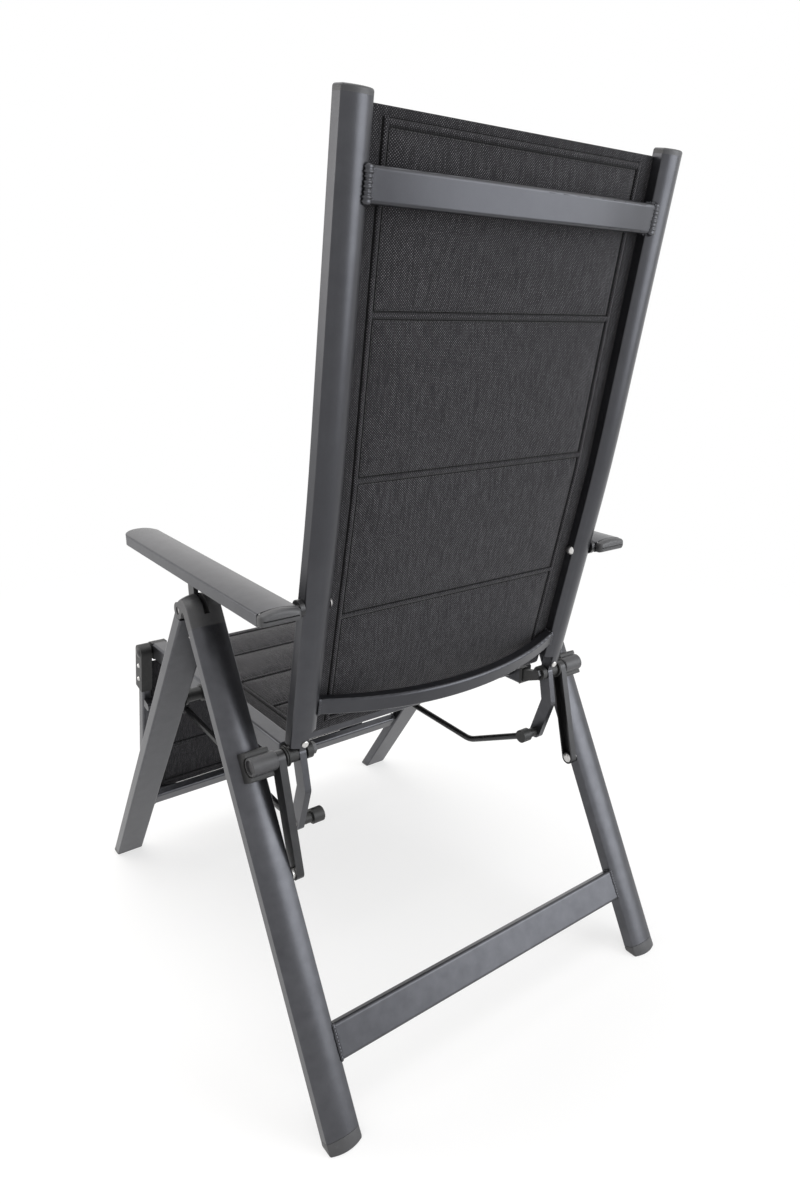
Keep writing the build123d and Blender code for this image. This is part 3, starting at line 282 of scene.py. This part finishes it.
frame_paint = powder_coat("anthracite_paint", (0.040, 0.0405, 0.0460), (0.056, 0.0570, 0.0635), 0.8)
dark_paint = powder_coat("dark_paint", (0.015, 0.015, 0.0165), (0.026, 0.026, 0.0275), 0.6)
grey_plastic = moulded("grey_plastic", (0.050, 0.050, 0.0525), (0.068, 0.068, 0.0715), 0.42)
black_plastic = moulded("black_plastic", (0.012, 0.012, 0.012), (0.024, 0.024, 0.024), 0.48)
bright_steel = plated_steel("zinc_steel")
thread_black = sewing_thread("black_thread")
weave_of_node = {
    "back_pad": sling_weave("back_textile", radians(78.3)),
    "seat_pad": sling_weave("seat_textile", 0.0),
    "footrest_pad": sling_weave("footrest_textile", radians(76.8)),
}
finish_of_slot = {
    "frame_metal": frame_paint,
    "dark_metal": dark_paint,
    "dark_steel": dark_paint,
    "grey_plastic": grey_plastic,
    "black_plastic": black_plastic,
    "bright_steel": bright_steel,
}
finish_of_node = {"link_bars": dark_paint, "axle_bolts": dark_paint, **weave_of_node}


def smooth_by_angle(piece, degrees=32):
    """Smooth shading that keeps the sharp edges."""
    piece.data.shade_smooth()
    piece.data.set_sharp_from_angle(angle=radians(degrees))


for entry in frame["record"]["subparts"]:
    node = nodes[entry["node"]]
    smooth_by_angle(node)
    finish = finish_of_node.get(entry["node"]) or finish_of_slot[entry["material_slot"]]
    if not node.data.materials:
        node.data.materials.append(finish)
    for slot in node.material_slots:
        slot.material = finish


# Pivots and lines of the frame, in the plane of y and z
hinge = (0.040, 0.578)
seat_height = 0.410
footrest_hinge = (-0.290, 0.404)
footrest_angle = radians(-103.2)
axle = (0.188, 0.420)
bend_height = 0.740
lower_lean = radians(13.2)
upper_lean = radians(9.9)
bend_ease = 0.06
back_lead = 8.5 * MM


def seat_place(along, out):
    """Point of the seat panel, from how far back it lies and how far above the panel's middle."""
    return along, seat_height + out


def footrest_place(along, out):
    """Point of the footrest panel, from its distance below the hinge and its height on the front face."""
    step = (cos(footrest_angle), sin(footrest_angle))
    y = footrest_hinge[0] + step[0] * along + step[1] * out
    return y, footrest_hinge[1] + step[1] * along - step[0] * out


def on_back_tube(height):
    """Point on the middle line of a back tube."""
    low, high = min(height, bend_height) - axle[1], max(height - bend_height, 0.0)
    return axle[0] + low * tan(lower_lean) + high * tan(upper_lean), height


def back_place(height, out):
    """Point of the back panel at a height of the tubes, moved to the front; the tube's bend is eased."""
    ease = min(max((height - bend_height) / bend_ease + 0.5, 0.0), 1.0)
    lean = lower_lean + (upper_lean - lower_lean) * ease
    y, z = on_back_tube(height)
    out = out + back_lead
    return y - out * cos(lean), z - out * sin(lean)


# Meshes
def link_mesh(name, points, faces, finish):
    """Makes an object of points and faces."""
    mesh = bpy.data.meshes.new(name)
    mesh.from_pydata([tuple(p) for p in points], [], faces)
    mesh.validate()
    mesh.update()
    piece = bpy.data.objects.new(name, mesh)
    bpy.context.scene.collection.objects.link(piece)
    mesh.materials.append(finish)
    return piece


def tidy_normals(piece):
    """Turns every face outwards."""
    form = bmesh.new()
    form.from_mesh(piece.data)
    bmesh.ops.recalc_face_normals(form, faces=form.faces)
    form.to_mesh(piece.data)
    form.free()


def skin(rings, points, faces):
    """Adds a closed skin over rings of points that match one to one."""
    first, count = len(points), len(rings[0])
    points += [point for ring in rings for point in ring]
    for ring in range(len(rings) - 1):
        for k in range(count):
            a, b = first + ring * count + k, first + ring * count + (k + 1) % count
            faces.append((a, b, b + count, a + count))
    faces.append(tuple(first + k for k in reversed(range(count))))
    faces.append(tuple(first + (len(rings) - 1) * count + k for k in range(count)))


def settle(name, points, faces, finish, body, replaced=(), angle=40):
    """Makes a piece of points and faces that rides on a body."""
    piece = link_mesh(name, points, faces, finish)
    tidy_normals(piece)
    smooth_by_angle(piece, angle)
    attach(piece, body)
    if replaced:
        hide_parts(*replaced)
    return piece


# Padded sling panels
def blend_in(value, start, stop):
    """Smooth rise from 0 at start to 1 at stop."""
    share = np.clip((value - start) / (stop - start), 0.0, 1.0)
    return share * share * (3.0 - 2.0 * share)


def panel_grid(place, rows, columns, front, rear):
    """Closed mesh of two quilted faces over the same rows and columns."""
    count_rows, count_columns = len(rows), len(columns)
    points = []
    for depth in (front, rear):
        for i, along in enumerate(rows):
            for j, x in enumerate(columns):
                y, z = place(along, depth[i, j])
                points.append((x, y, z))
    half = count_rows * count_columns
    faces = []
    for i in range(count_rows - 1):
        for j in range(count_columns - 1):
            a = i * count_columns + j
            b, c, d = a + 1, a + count_columns + 1, a + count_columns
            faces.append((a, b, c, d))
            faces.append((a + half, d + half, c + half, b + half))
    rim = list(range(count_columns))
    rim += [i * count_columns + count_columns - 1 for i in range(1, count_rows)]
    rim += [(count_rows - 1) * count_columns + j for j in range(count_columns - 2, -1, -1)]
    rim += [i * count_columns for i in range(count_rows - 2, 0, -1)]
    for a, b in zip(rim, rim[1:] + rim[:1]):
        faces.append((a, a + half, b + half, b))
    return points, faces


def swell(piece, pinned, pressure, cap):
    """Blows the padding up between its seams like a filled quilt, then applies the result."""
    rest = np.array([v.co for v in piece.data.vertices])
    group = piece.vertex_groups.new(name="sewn")
    group.add([int(i) for i in np.nonzero(pinned)[0]], 1.0, "REPLACE")
    cloth = piece.modifiers.new("filling", "CLOTH")
    settings = cloth.settings
    settings.quality = 5
    settings.mass = 0.25
    settings.tension_stiffness = 12.0
    settings.compression_stiffness = 12.0
    settings.shear_stiffness = 4.0
    settings.bending_stiffness = 0.3
    settings.use_pressure = True
    settings.uniform_pressure_force = pressure
    settings.vertex_group_mass = "sewn"
    settings.effector_weights.gravity = 0.0
    cloth.collision_settings.use_collision = False
    cloth.collision_settings.use_self_collision = False
    scene = bpy.context.scene
    for step in range(1, swell_steps + 1):
        scene.frame_set(step)
    posed = piece.evaluated_get(bpy.context.evaluated_depsgraph_get()).data
    moved = np.array([v.co for v in posed.vertices]) - rest
    piece.modifiers.remove(cloth)
    scene.frame_set(1)
    reach = np.linalg.norm(moved, axis=1, keepdims=True)
    moved *= cap * np.tanh(reach / cap) / np.maximum(reach, 1e-9)
    for vertex, place in zip(piece.data.vertices, rest + moved):
        vertex.co = place
    piece.vertex_groups.remove(group)


band_width = 24 * MM
fold_half = 3.4 * MM
grid_step = 6.5 * MM
swell_steps = 20


def fold_places(marks):
    """Places that a folded seam needs on each side of its crest."""
    offsets = (0.0, 1.2, 2.3, 3.0, 3.4, 3.8, 4.6, 6.2, 8.6)
    return [mark + side * offset * MM for mark in marks for offset in offsets for side in (-1, 1)]


def panel_places(first, last, marks, step):
    """Even places from first to last, with the places of each seam put in."""
    count = int(round((last - first) / step))
    even = [first + (last - first) * i / count for i in range(count + 1)]
    clear = 10 * MM
    kept = [place for place in even if min(abs(place - mark) for mark in marks) > clear]
    seams = [place for place in fold_places(marks) if first < place < last]
    return np.unique(np.round(np.array([first, last] + kept + seams), 6))


def quilt_depth(nearest, inside):
    """Half thickness of a panel: folded ridges between grooves, and channels that rise away from them."""
    band, root, filling, ridge, groove = 1.0, 1.2, 2.6, 2.3, 0.75
    filling_run, groove_half = 10 * MM, 0.7 * MM
    rise = nearest - fold_half
    depth = np.where(inside, root + filling * blend_in(rise, 0.0, filling_run), band)
    fold = band + ridge * np.sqrt(np.clip(1.0 - (nearest / fold_half) ** 2, 0.0, 1.0))
    depth = np.where(rise < 0, fold, depth)
    return (depth - groove * np.exp(-((rise / groove_half) ** 2))) * MM


def twice(grid):
    """Values of a grid for the points of both faces."""
    return np.concatenate([grid.ravel(), grid.ravel()])


def wander(run, cross, waves, swing):
    """Wave along one way of a panel, bent by two slower ones."""
    return np.sin(run / waves[0] * pi + swing * np.sin(run / waves[1] + cross / waves[2]))


def pull_ripples(piece, place, along, across, rise, padded):
    """Shallow ripples where the padding is drawn to its seams."""
    peak, start, reach = 0.3, 6 * MM, 26 * MM
    lengths, widths, gap = twice(along), twice(across), twice(rise)
    side = np.concatenate([np.ones(along.size), -np.ones(along.size)])
    ripple = wander(widths, lengths, waves=(21 * MM, 47 * MM, 80 * MM), swing=2.3)
    ripple += wander(lengths, widths, waves=(24 * MM, 53 * MM, 90 * MM), swing=1.9)
    lift = ripple * blend_in(gap, 0.0, start) * np.exp(-gap / reach) * peak * MM
    lift *= twice(padded) * side
    for vertex, length, raised in zip(piece.data.vertices, lengths, lift):
        y0, z0 = place(length, 0.0)
        y1, z1 = place(length, MM)
        step = np.array((0.0, y1 - y0, z1 - z0)) / MM
        vertex.co = Vector(np.array(vertex.co) + step * raised)


def paint_seam_shade(piece, rise, inside):
    """Stores painted shade for the textile's colour: dark in the groove beside each sewn line, and a
    lighter painted shade over the flat bands at the rails.
    """
    groove_shade_half, band_shade_share = 1.1 * MM, 0.25
    gap = twice(rise)
    lines = np.exp(-((gap / groove_shade_half) ** 2))
    # Painted shade: the flat outer bands at the rails are darkened a little as well
    lines = np.maximum(lines, np.where(twice(inside) | (gap < 0), 0.0, band_shade_share))
    sewn = piece.data.attributes.new("sewn_line", "FLOAT", "POINT")
    sewn.data.foreach_set("value", lines.astype(np.float32))


def quilted_panel(name, node, body, place, span, seams, half, hems):
    """Padded sling panel: quilted channels between folded seams, flat bands at the rails, hemmed ends."""
    low, high = span
    crest = half - band_width
    crests = sorted([low + hems[0], *seams, high - hems[1]])
    rows = panel_places(low, high, crests, grid_step)
    columns = panel_places(-half, half, [-crest, crest], grid_step)
    across, along = np.meshgrid(columns, rows)
    between_sides = np.abs(across) < crest
    inside = between_sides & (along > crests[0]) & (along < crests[-1])
    in_rows = (along > crests[0] - fold_half) & (along < crests[-1] + fold_half)
    far = 1.0
    from_row = np.where(between_sides, np.min([np.abs(along - mark) for mark in crests], axis=0), far)
    from_column = np.where(in_rows, np.abs(np.abs(across) - crest), far)
    nearest = np.minimum(from_row, from_column)
    rise = nearest - fold_half
    padded = inside & (rise > 0)
    depth = quilt_depth(nearest, inside)
    points, faces = panel_grid(place, rows, columns, depth, -depth)
    piece = link_mesh(name, points, faces, weave_of_node[node])
    swell(piece, ~twice(padded & (rise > 2 * MM)), pressure=3.0, cap=4.0 * MM)
    pull_ripples(piece, place, along, across, rise, padded)
    # Painted shade along the seam grooves and over the flat outer bands, stored for the textile's colour
    paint_seam_shade(piece, rise, inside)
    smoothing = piece.modifiers.new("smooth", "SUBSURF")
    smoothing.levels = 1
    smoothing.render_levels = 1
    smooth_by_angle(piece, 60)
    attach(piece, body)
    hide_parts(node)
    sew(name.replace("sling", "stitches"), body, place, crests, crest)


def sew(name, body, place, crests, crest):
    """Stitches beside every folded seam of a panel, on both of its faces."""
    beside = fold_half + 1.5 * MM
    proud = 1.5 * MM
    inner = crest - beside
    steps = 6
    points, faces = [], []
    for face in (-1, 1):
        for index, mark in enumerate(crests):
            for way in (-1, 1):
                if (way < 0 and index) or (way > 0 and index + 1 < len(crests)):
                    spot = place(mark + way * beside, face * proud)
                    stitch_run(points, faces, [Vector((side * (inner - MM), *spot)) for side in (-1, 1)])
        for low, high in zip(crests, crests[1:]):
            first = low + beside + MM
            reach = high - low - 2 * (beside + MM)
            for side in (-1, 1):
                places = [first + reach * i / steps for i in range(steps + 1)]
                spots = [Vector((side * inner, *place(along, face * proud))) for along in places]
                stitch_run(points, faces, spots)
    piece = link_mesh(name, points, faces, thread_black)
    smooth_by_angle(piece, 60)
    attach(piece, body)


def stitch_run(points, faces, spots):
    """Short rounded stitches laid end to end with gaps, along a run of spots."""
    length, gap, thick, sides = 3.4 * MM, 1.5 * MM, 0.42 * MM, 6
    shape_shares = ((0.0, 0.3), (0.16, 0.9), (0.84, 0.9), (1.0, 0.3))
    turns = [2 * pi * k / sides for k in range(sides)]
    carry = 0.0
    for start, stop in zip(spots, spots[1:]):
        way = (stop - start).normalized()
        side = way.orthogonal().normalized()
        other = way.cross(side)
        reach = (stop - start).length
        at = carry
        while at + length <= reach:
            rings = []
            for share, grow in shape_shares:
                middle = start + way * (at + length * share)
                rings.append([middle + (side * cos(a) + other * sin(a)) * thick * grow for a in turns])
            skin(rings, points, faces)
            at += length + gap
        carry = max(at - reach, 0.0)


quilted_panel(
    "back_sling", "back_pad", "back", back_place, span=(0.440, 1.101), seams=(0.598, 0.760, 0.926),
    half=0.1986, hems=(16 * MM, 13 * MM),
)
quilted_panel(
    "seat_sling", "seat_pad", "seat", seat_place, span=(-0.270, 0.122), seams=(-0.168, -0.066, 0.036),
    half=0.1966, hems=(14 * MM, 14 * MM),
)
quilted_panel(
    "footrest_sling", "footrest_pad", "footrest", footrest_place, span=(0.022, 0.308), seams=(0.118, 0.213),
    half=0.2246, hems=(14 * MM, 14 * MM),
)


# Feet of the legs, flush with the tubes
foot_reach = 0.3665
foot_height = 13 * MM
leg_middle = 274 * MM
leg_width = 45 * MM
leg_depth = 22 * MM
leg_crown = 5 * MM
leg_edge = 2.5 * MM
leg_offset = leg_depth + 3 * MM
front_angle = atan2(-hinge[1], -foot_reach - hinge[0])
rear_run = foot_reach - hinge[0]
rear_angle = atan2(-hinge[1], rear_run) - asin(leg_offset / hypot(rear_run, hinge[1]))
# Step below the joint or else height over the floor, and growth of the outline, in millimetres
glide_rings = ((0, None, -1.0), (0.8, None, -0.1), (None, 3.2, 0.15), (None, 1.2, -0.4), (None, 0.0, -1.9))


def leg_outline(grow):
    """Points round a leg's section: across, and out from its middle plane; flat inside, crowned outside."""
    half, high = leg_width / 2, leg_depth / 2
    shoulder = high - leg_crown
    radius = (half ** 2 + leg_crown ** 2) / (2 * leg_crown)
    spread = asin((half - leg_edge) / radius)
    crown_steps, edge_steps = 12, 3
    points = []
    for i in range(crown_steps + 1):
        turn = spread - 2 * spread * i / crown_steps
        points.append((radius * sin(turn), high - radius * (1 - cos(turn))))
    corners = ((-half, shoulder, 100), (-half, -high, 180), (half, -high, 270), (half, shoulder, 0))
    for corner_u, corner_v, first in corners:
        inward = -leg_edge if corner_u > 0 else leg_edge
        lift, sweep = (leg_edge, 90) if corner_v < 0 else (-leg_edge * 0.6, 70)
        for i in range(edge_steps + 1):
            turn = radians(first + sweep * i / edge_steps)
            u = corner_u + inward + leg_edge * cos(turn)
            points.append((u, corner_v + lift + leg_edge * sin(turn)))
    return [(u * (1 + grow / half), v * (1 + grow / high)) for u, v in points]


def leg_foot(name, node, body, angle, out, side):
    """Glide pressed on a leg's end: a thin joint line, flush walls and an eased base flat on the floor."""
    run, square = (cos(angle), sin(angle)), (-sin(angle), cos(angle))
    length = (hinge[1] + out * cos(angle)) / -sin(angle)
    if out == 0:
        square = (-square[0], -square[1])
        length = hypot(foot_reach + hinge[0], hinge[1])
    rings = []
    for step, height, grow in glide_rings:
        ring = []
        for u, v in leg_outline(grow * MM):
            off = out + v
            if height is None:
                along = length - foot_height + step * MM
            else:
                along = (height * MM - hinge[1] - square[1] * off) / run[1]
            y = hinge[0] + run[0] * along + square[0] * off
            z = hinge[1] + run[1] * along + square[1] * off
            ring.append((side * leg_middle + u, y, z))
        rings.append(ring)
    points, faces = [], []
    skin(rings, points, faces)
    settle(name, points, faces, grey_plastic, body, (node,))


for side, word in ((1, "left"), (-1, "right")):
    leg_foot(f"front_glide_{word}", f"front_foot_{word}", "front_frame", front_angle, 0.0, side)
    leg_foot(f"rear_glide_{word}", f"rear_foot_{word}", "rear_frame", rear_angle, leg_offset, side)


# Corners of a section: the signs of its two axes and the turn in degrees at which each starts
quarter_turns = ((1, 1, 0), (-1, 1, 90), (-1, -1, 180), (1, -1, 270))


# Welds of the bars
front_bar_drop = 0.523
rear_bar_drop = 0.553
upper_bar_height = 1.035
lower_bar_height = 0.484
bar_shift = 3 * MM
leg_inner = leg_middle - leg_width / 2
tube_inner = 0.197
upper_weld_x = tube_inner + 3 * MM


def bead_path(tall, deep, count):
    """Even spots round a bar's section, each with the way that it faces."""
    corner, corner_steps = 3 * MM, 4
    spots = []
    for sign_u, sign_v, first in quarter_turns:
        for i in range(corner_steps + 1):
            turn = radians(first + 90 * i / corner_steps)
            u = sign_u * (tall / 2 - corner) + corner * cos(turn)
            spots.append((u, sign_v * (deep / 2 - corner) + corner * sin(turn)))
    spots = np.array(spots + spots[:1])
    total = np.concatenate([[0.0], np.cumsum(np.linalg.norm(np.diff(spots, axis=0), axis=1))])
    marks = np.arange(count) / count * total[-1]
    spots = np.stack([np.interp(marks, total, spots[:, k]) for k in (0, 1)], axis=1)
    run = np.roll(spots, -1, axis=0) - np.roll(spots, 1, axis=0)
    facing = np.stack([run[:, 1], -run[:, 0]], axis=1)
    return spots, facing / np.linalg.norm(facing, axis=1, keepdims=True)


def weld_bead(points, faces, place, angle, tall, deep, x, radius):
    """Rippled weld round a bar's end, on the tube that it meets."""
    ripple_pitch, ripple_steps, ring = 4.2 * MM, 8, 10
    out_share, side_share = 0.8, 1.35
    ripples = round(2 * (tall + deep) / ripple_pitch)
    steps = ripples * ripple_steps
    first = len(points)
    spots, facing = bead_path(tall, deep, steps)
    for i in range(steps):
        wave = 2 * pi * i / steps
        thick = radius * (0.86 + 0.13 * sin(ripples * wave) + 0.16 * sin(3 * wave + x * 60) * sin(5 * wave))
        for k in range(ring):
            bead = 2 * pi * k / ring
            u, v = spots[i] + facing[i] * thick * out_share * cos(bead)
            y = place[0] + cos(angle) * u - sin(angle) * v
            z = place[1] + sin(angle) * u + cos(angle) * v
            points.append((x + side_share * thick * sin(bead), y, z))
    for i in range(steps):
        for k in range(ring):
            a, b = first + i * ring + k, first + i * ring + (k + 1) % ring
            c, d = first + (i + 1) % steps * ring + (k + 1) % ring, first + (i + 1) % steps * ring + k
            faces.append((a, b, c, d))


def weld_beads(name, body, place, angle, tall, deep, x, radius=2.0):
    """Welds at both ends of a bar; its height and depth and the bead's radius are in millimetres."""
    points, faces = [], []
    for side in (-1, 1):
        weld_bead(points, faces, place, angle, tall * MM, deep * MM, side * x, radius * MM)
    settle(name, points, faces, frame_paint, body, angle=60)


def along_leg(angle, drop, out):
    """Point on a leg's line, from its distance to the hinge and its offset."""
    return hinge[0] + cos(angle) * drop - sin(angle) * out, hinge[1] + sin(angle) * drop + cos(angle) * out


front_bar = along_leg(front_angle, front_bar_drop, 0.0)
rear_bar = along_leg(rear_angle, rear_bar_drop, leg_offset)
weld_beads("front_bar_welds", "front_frame", front_bar, front_angle, 28, 15, leg_inner)
weld_beads("rear_bar_welds", "rear_frame", rear_bar, rear_angle, 44, 15, leg_inner)

upper_spot = on_back_tube(upper_bar_height)
upper_bar = (upper_spot[0] + bar_shift * cos(upper_lean), upper_spot[1] - bar_shift * sin(upper_lean))
lower_bar = on_back_tube(lower_bar_height)
weld_beads("upper_bar_welds", "back", upper_bar, pi / 2 - upper_lean, 31, 14, upper_weld_x, 4.2)
weld_beads("lower_bar_welds", "back", lower_bar, pi / 2 - lower_lean, 22, 15, tube_inner)


# Turned-in top hem of the footrest, between the seat rails
hem_half = 0.1950
hem_middle = 0.0165
hem_reach = 0.0075


def footrest_hem():
    """Narrow double hem lapped over the front of the footrest's panel; folded, it clears the seat's bar."""
    count, round_steps = 41, 16
    lap, thin, swollen = 2.1, 0.8, 0.3
    rings = []
    for j in range(count):
        x = -hem_half + 2 * hem_half * j / (count - 1)
        sag = 0.6 * MM * sin(j * 1.7) * sin(pi * j / (count - 1))
        ring = []
        for k in range(round_steps):
            turn = 2 * pi * k / round_steps
            along = hem_middle + (hem_reach + sag) * cos(turn)
            out = (lap + (thin + swollen * cos(turn) ** 2) * sin(turn)) * MM
            ring.append((x, *footrest_place(along, out)))
        rings.append(ring)
    points, faces = [], []
    skin(rings, points, faces)
    textile = weave_of_node["footrest_pad"]
    hem = settle("footrest_top_hem", points, faces, textile, "footrest", angle=60)


footrest_hem()


# Rounded ends of the armrests
arm_middle = 0.265
arm_half = 0.025
arm_low = -7.5 * MM
arm_high = 9.5 * MM
arm_crown = 3 * MM
arm_pivot = on_back_tube(0.622)
arm_tilt = radians(1.2)
arm_tail = 8 * MM


def arm_outline(inset):
    """Points round the armrest's section: across and up; a crowned top and a flat base."""
    half, low, high, edge = arm_half - inset, arm_low + inset, arm_high - inset, 3.2 * MM
    edge_steps, crown_steps = 4, 12
    points = []
    for sign_u, sign_v, first in quarter_turns:
        top = high - arm_crown if sign_v > 0 else low
        for i in range(edge_steps + 1):
            turn = radians(first + 90 * i / edge_steps)
            u = sign_u * (half - edge) + edge * cos(turn)
            v = top - sign_v * edge + edge * sin(turn)
            points.append((u, v))
        if (sign_u, sign_v) == (1, 1):
            for i in range(1, crown_steps):
                share = 1 - 2 * i / crown_steps
                points.append((share * (half - edge), high - arm_crown * share ** 2))
    return points


def arm_caps():
    """Plastic caps behind the armrests' tails: a rim, a short wall and a round end."""
    rim = ((0.0, 0.9), (0.5, 0.15), (1.4, -0.1))
    wall = ((5.5, 0.0),)
    end = ((8.2, 0.8), (9.8, 2.4), (10.4, 4.6))
    points, faces = [], []
    for side in (-1, 1):
        rings = []
        for back, inset in rim + wall + end:
            ring = []
            for u, v in arm_outline(inset * MM):
                along = arm_tail + back * MM
                y = arm_pivot[0] + cos(arm_tilt) * along + sin(arm_tilt) * v
                z = arm_pivot[1] - sin(arm_tilt) * along + cos(arm_tilt) * v
                ring.append((side * arm_middle + u, y, z))
            rings.append(ring)
        skin(rings, points, faces)
    settle("arm_end_caps", points, faces, grey_plastic, "armrests", ("armrest_caps",))


arm_caps()


# Rivet heads on the levers
lever_turn = radians(-96.2)
lever_reach = 0.105
lever_face = 0.219


def rivet_heads(name, body, spots, radius, height):
    """Domed heads on planes square to X; each spot is x, y, z and the way that it faces."""
    count = 20
    dome_shares = ((0.0, 1.0), (0.3, 0.98), (0.7, 0.8), (0.93, 0.5), (1.0, 0.2))
    turns = [2 * pi * k / count for k in range(count)]
    points, faces = [], []
    for x, y, z, way in spots:
        rings = []
        for rise, grow in dome_shares:
            face = x + way * height * rise
            ring = [(face, y + radius * grow * cos(a), z + radius * grow * sin(a)) for a in turns]
            rings.append(ring)
        skin(rings, points, faces)
    settle(name, points, faces, bright_steel, body, angle=50)


lever_spot = (axle[0] + lever_reach * cos(lever_turn), axle[1] + lever_reach * sin(lever_turn))
lever_spots = [(side * lever_face, *lever_spot, side) for side in (-1, 1)]
rivet_heads("lever_rivet_heads", "back", lever_spots, radius=4.4 * MM, height=1.8 * MM)


# Studio
def stage_plane(name, size, height, shade):
    """Flat square that is part of the stage and not of the chair."""
    corners = [(-size, -size, height), (size, -size, height), (size, size, height), (-size, size, height)]
    piece = link_mesh(name, corners, [(0, 1, 2, 3)], shade)


def studio_floor():
    """Pale floor that keeps the soft shadow and fades to plain white away from the chair."""
    paper = bpy.data.materials.new("studio_floor")
    floor = NodeTree(paper)
    floor.tree.nodes.clear()
    fade_start, fade_rate = 1.0, 0.8
    pale, own_share, glow_share = 0.82, 0.34, 0.33
    seen = floor.seen()
    spot = floor.make("ShaderNodeTexCoord").outputs["Object"]
    reach = floor.make("ShaderNodeVectorMath", {"operation": "LENGTH"}, {0: spot}).outputs["Value"]
    near = (1.0 - (Value(floor.tree, reach) - fade_start) * fade_rate).held()
    tone = pale - seen * (pale - near * own_share)
    grey = floor.make("ShaderNodeCombineColor", inputs={"Red": tone, "Green": tone, "Blue": tone})
    paint = floor.make("ShaderNodeBsdfDiffuse", inputs={"Color": grey.outputs[0]})
    glow = floor.make("ShaderNodeEmission", inputs={"Strength": seen * (1.0 - near * glow_share)})
    both = floor.make("ShaderNodeAddShader", inputs={0: paint.outputs[0], 1: glow.outputs[0]})
    floor.make("ShaderNodeOutputMaterial", inputs={"Surface": both.outputs[0]})
    return paper


def studio_sky():
    """White behind the chair; its light comes mostly from the upper left and fades to the right."""
    world = bpy.data.worlds.new("studio_sky")
    bpy.context.scene.world = world
    sky = NodeTree(world)
    sky.tree.nodes.clear()
    brightest = Vector((0.4, -0.25, 0.9)).normalized()
    way = sky.make("ShaderNodeTexCoord").outputs["Generated"]
    facing = sky.make("ShaderNodeVectorMath", {"operation": "DOT_PRODUCT"}, {0: way, 1: brightest})
    bright = (Value(sky.tree, facing.outputs["Value"]) * 0.5 + 0.5).held()
    light = {"Color": (1.0, 0.985, 0.965), "Strength": bright ** 2.0 * 0.85 + 0.13}
    room = sky.make("ShaderNodeBackground", inputs=light)
    white = sky.make("ShaderNodeBackground", inputs={"Color": (1.0, 1.0, 1.0)})
    mix = sky.make("ShaderNodeMixShader", inputs={0: sky.seen(), 1: room.outputs[0], 2: white.outputs[0]})
    sky.make("ShaderNodeOutputWorld", inputs={"Surface": mix.outputs[0]})


def lamp(name, spot, aim, size, power, tint=(1.0, 1.0, 1.0)):
    """Round soft lamp turned to the spot that it lights."""
    data = bpy.data.lights.new(name, "AREA")
    data.shape = "DISK"
    data.size = size
    data.energy = power
    data.color = tint
    item = bpy.data.objects.new(name, data)
    item.location = spot
    item.rotation_euler = (Vector(aim) - Vector(spot)).to_track_quat("-Z", "Y").to_euler()
    bpy.context.scene.collection.objects.link(item)


def photo_camera():
    """Camera fitted to the photograph: behind the chair, at the sitter's left."""
    data = bpy.data.cameras.new("photo_view")
    data.lens = 24.88
    data.sensor_width = 36.0
    data.sensor_fit = "AUTO"
    data.clip_start = 0.01
    camera = bpy.data.objects.new("photo_view", data)
    spot = Matrix.Translation((0.6600, 0.9922, 0.9118))
    right = Vector((-0.80287, 0.59614, 0.00350))
    up = Vector((-0.18286, -0.25184, 0.95034))
    camera.matrix_world = spot @ Matrix((right, up, right.cross(up))).transposed().to_4x4()
    bpy.context.scene.collection.objects.link(camera)
    bpy.context.scene.camera = camera


chair_middle = (0.0, 0.0, 0.5)
stage_plane("studio_ground", size=14.0, height=0.0, shade=studio_floor())
studio_sky()
lamp("soft_top", (0.3, -0.2, 3.2), chair_middle, 2.6, 36.0)
lamp("soft_left", (2.5, -1.9, 1.4), (0.2, 0.3, 0.9), 1.8, 22.0, (1.0, 0.97, 0.93))
lamp("soft_rear", (-2.0, 2.5, 2.3), chair_middle, 2.7, 24.0)
lamp("soft_front", (-1.0, -3.1, 1.5), chair_middle, 2.8, 4.5, (1.0, 0.94, 0.88))
lamp("soft_side", (-1.9, 2.6, 1.2), (0.0, 0.4, 1.0), 2.4, 48.0, (0.93, 0.96, 1.0))
photo_camera()
bpy.context.scene.view_settings.view_transform = "Standard"
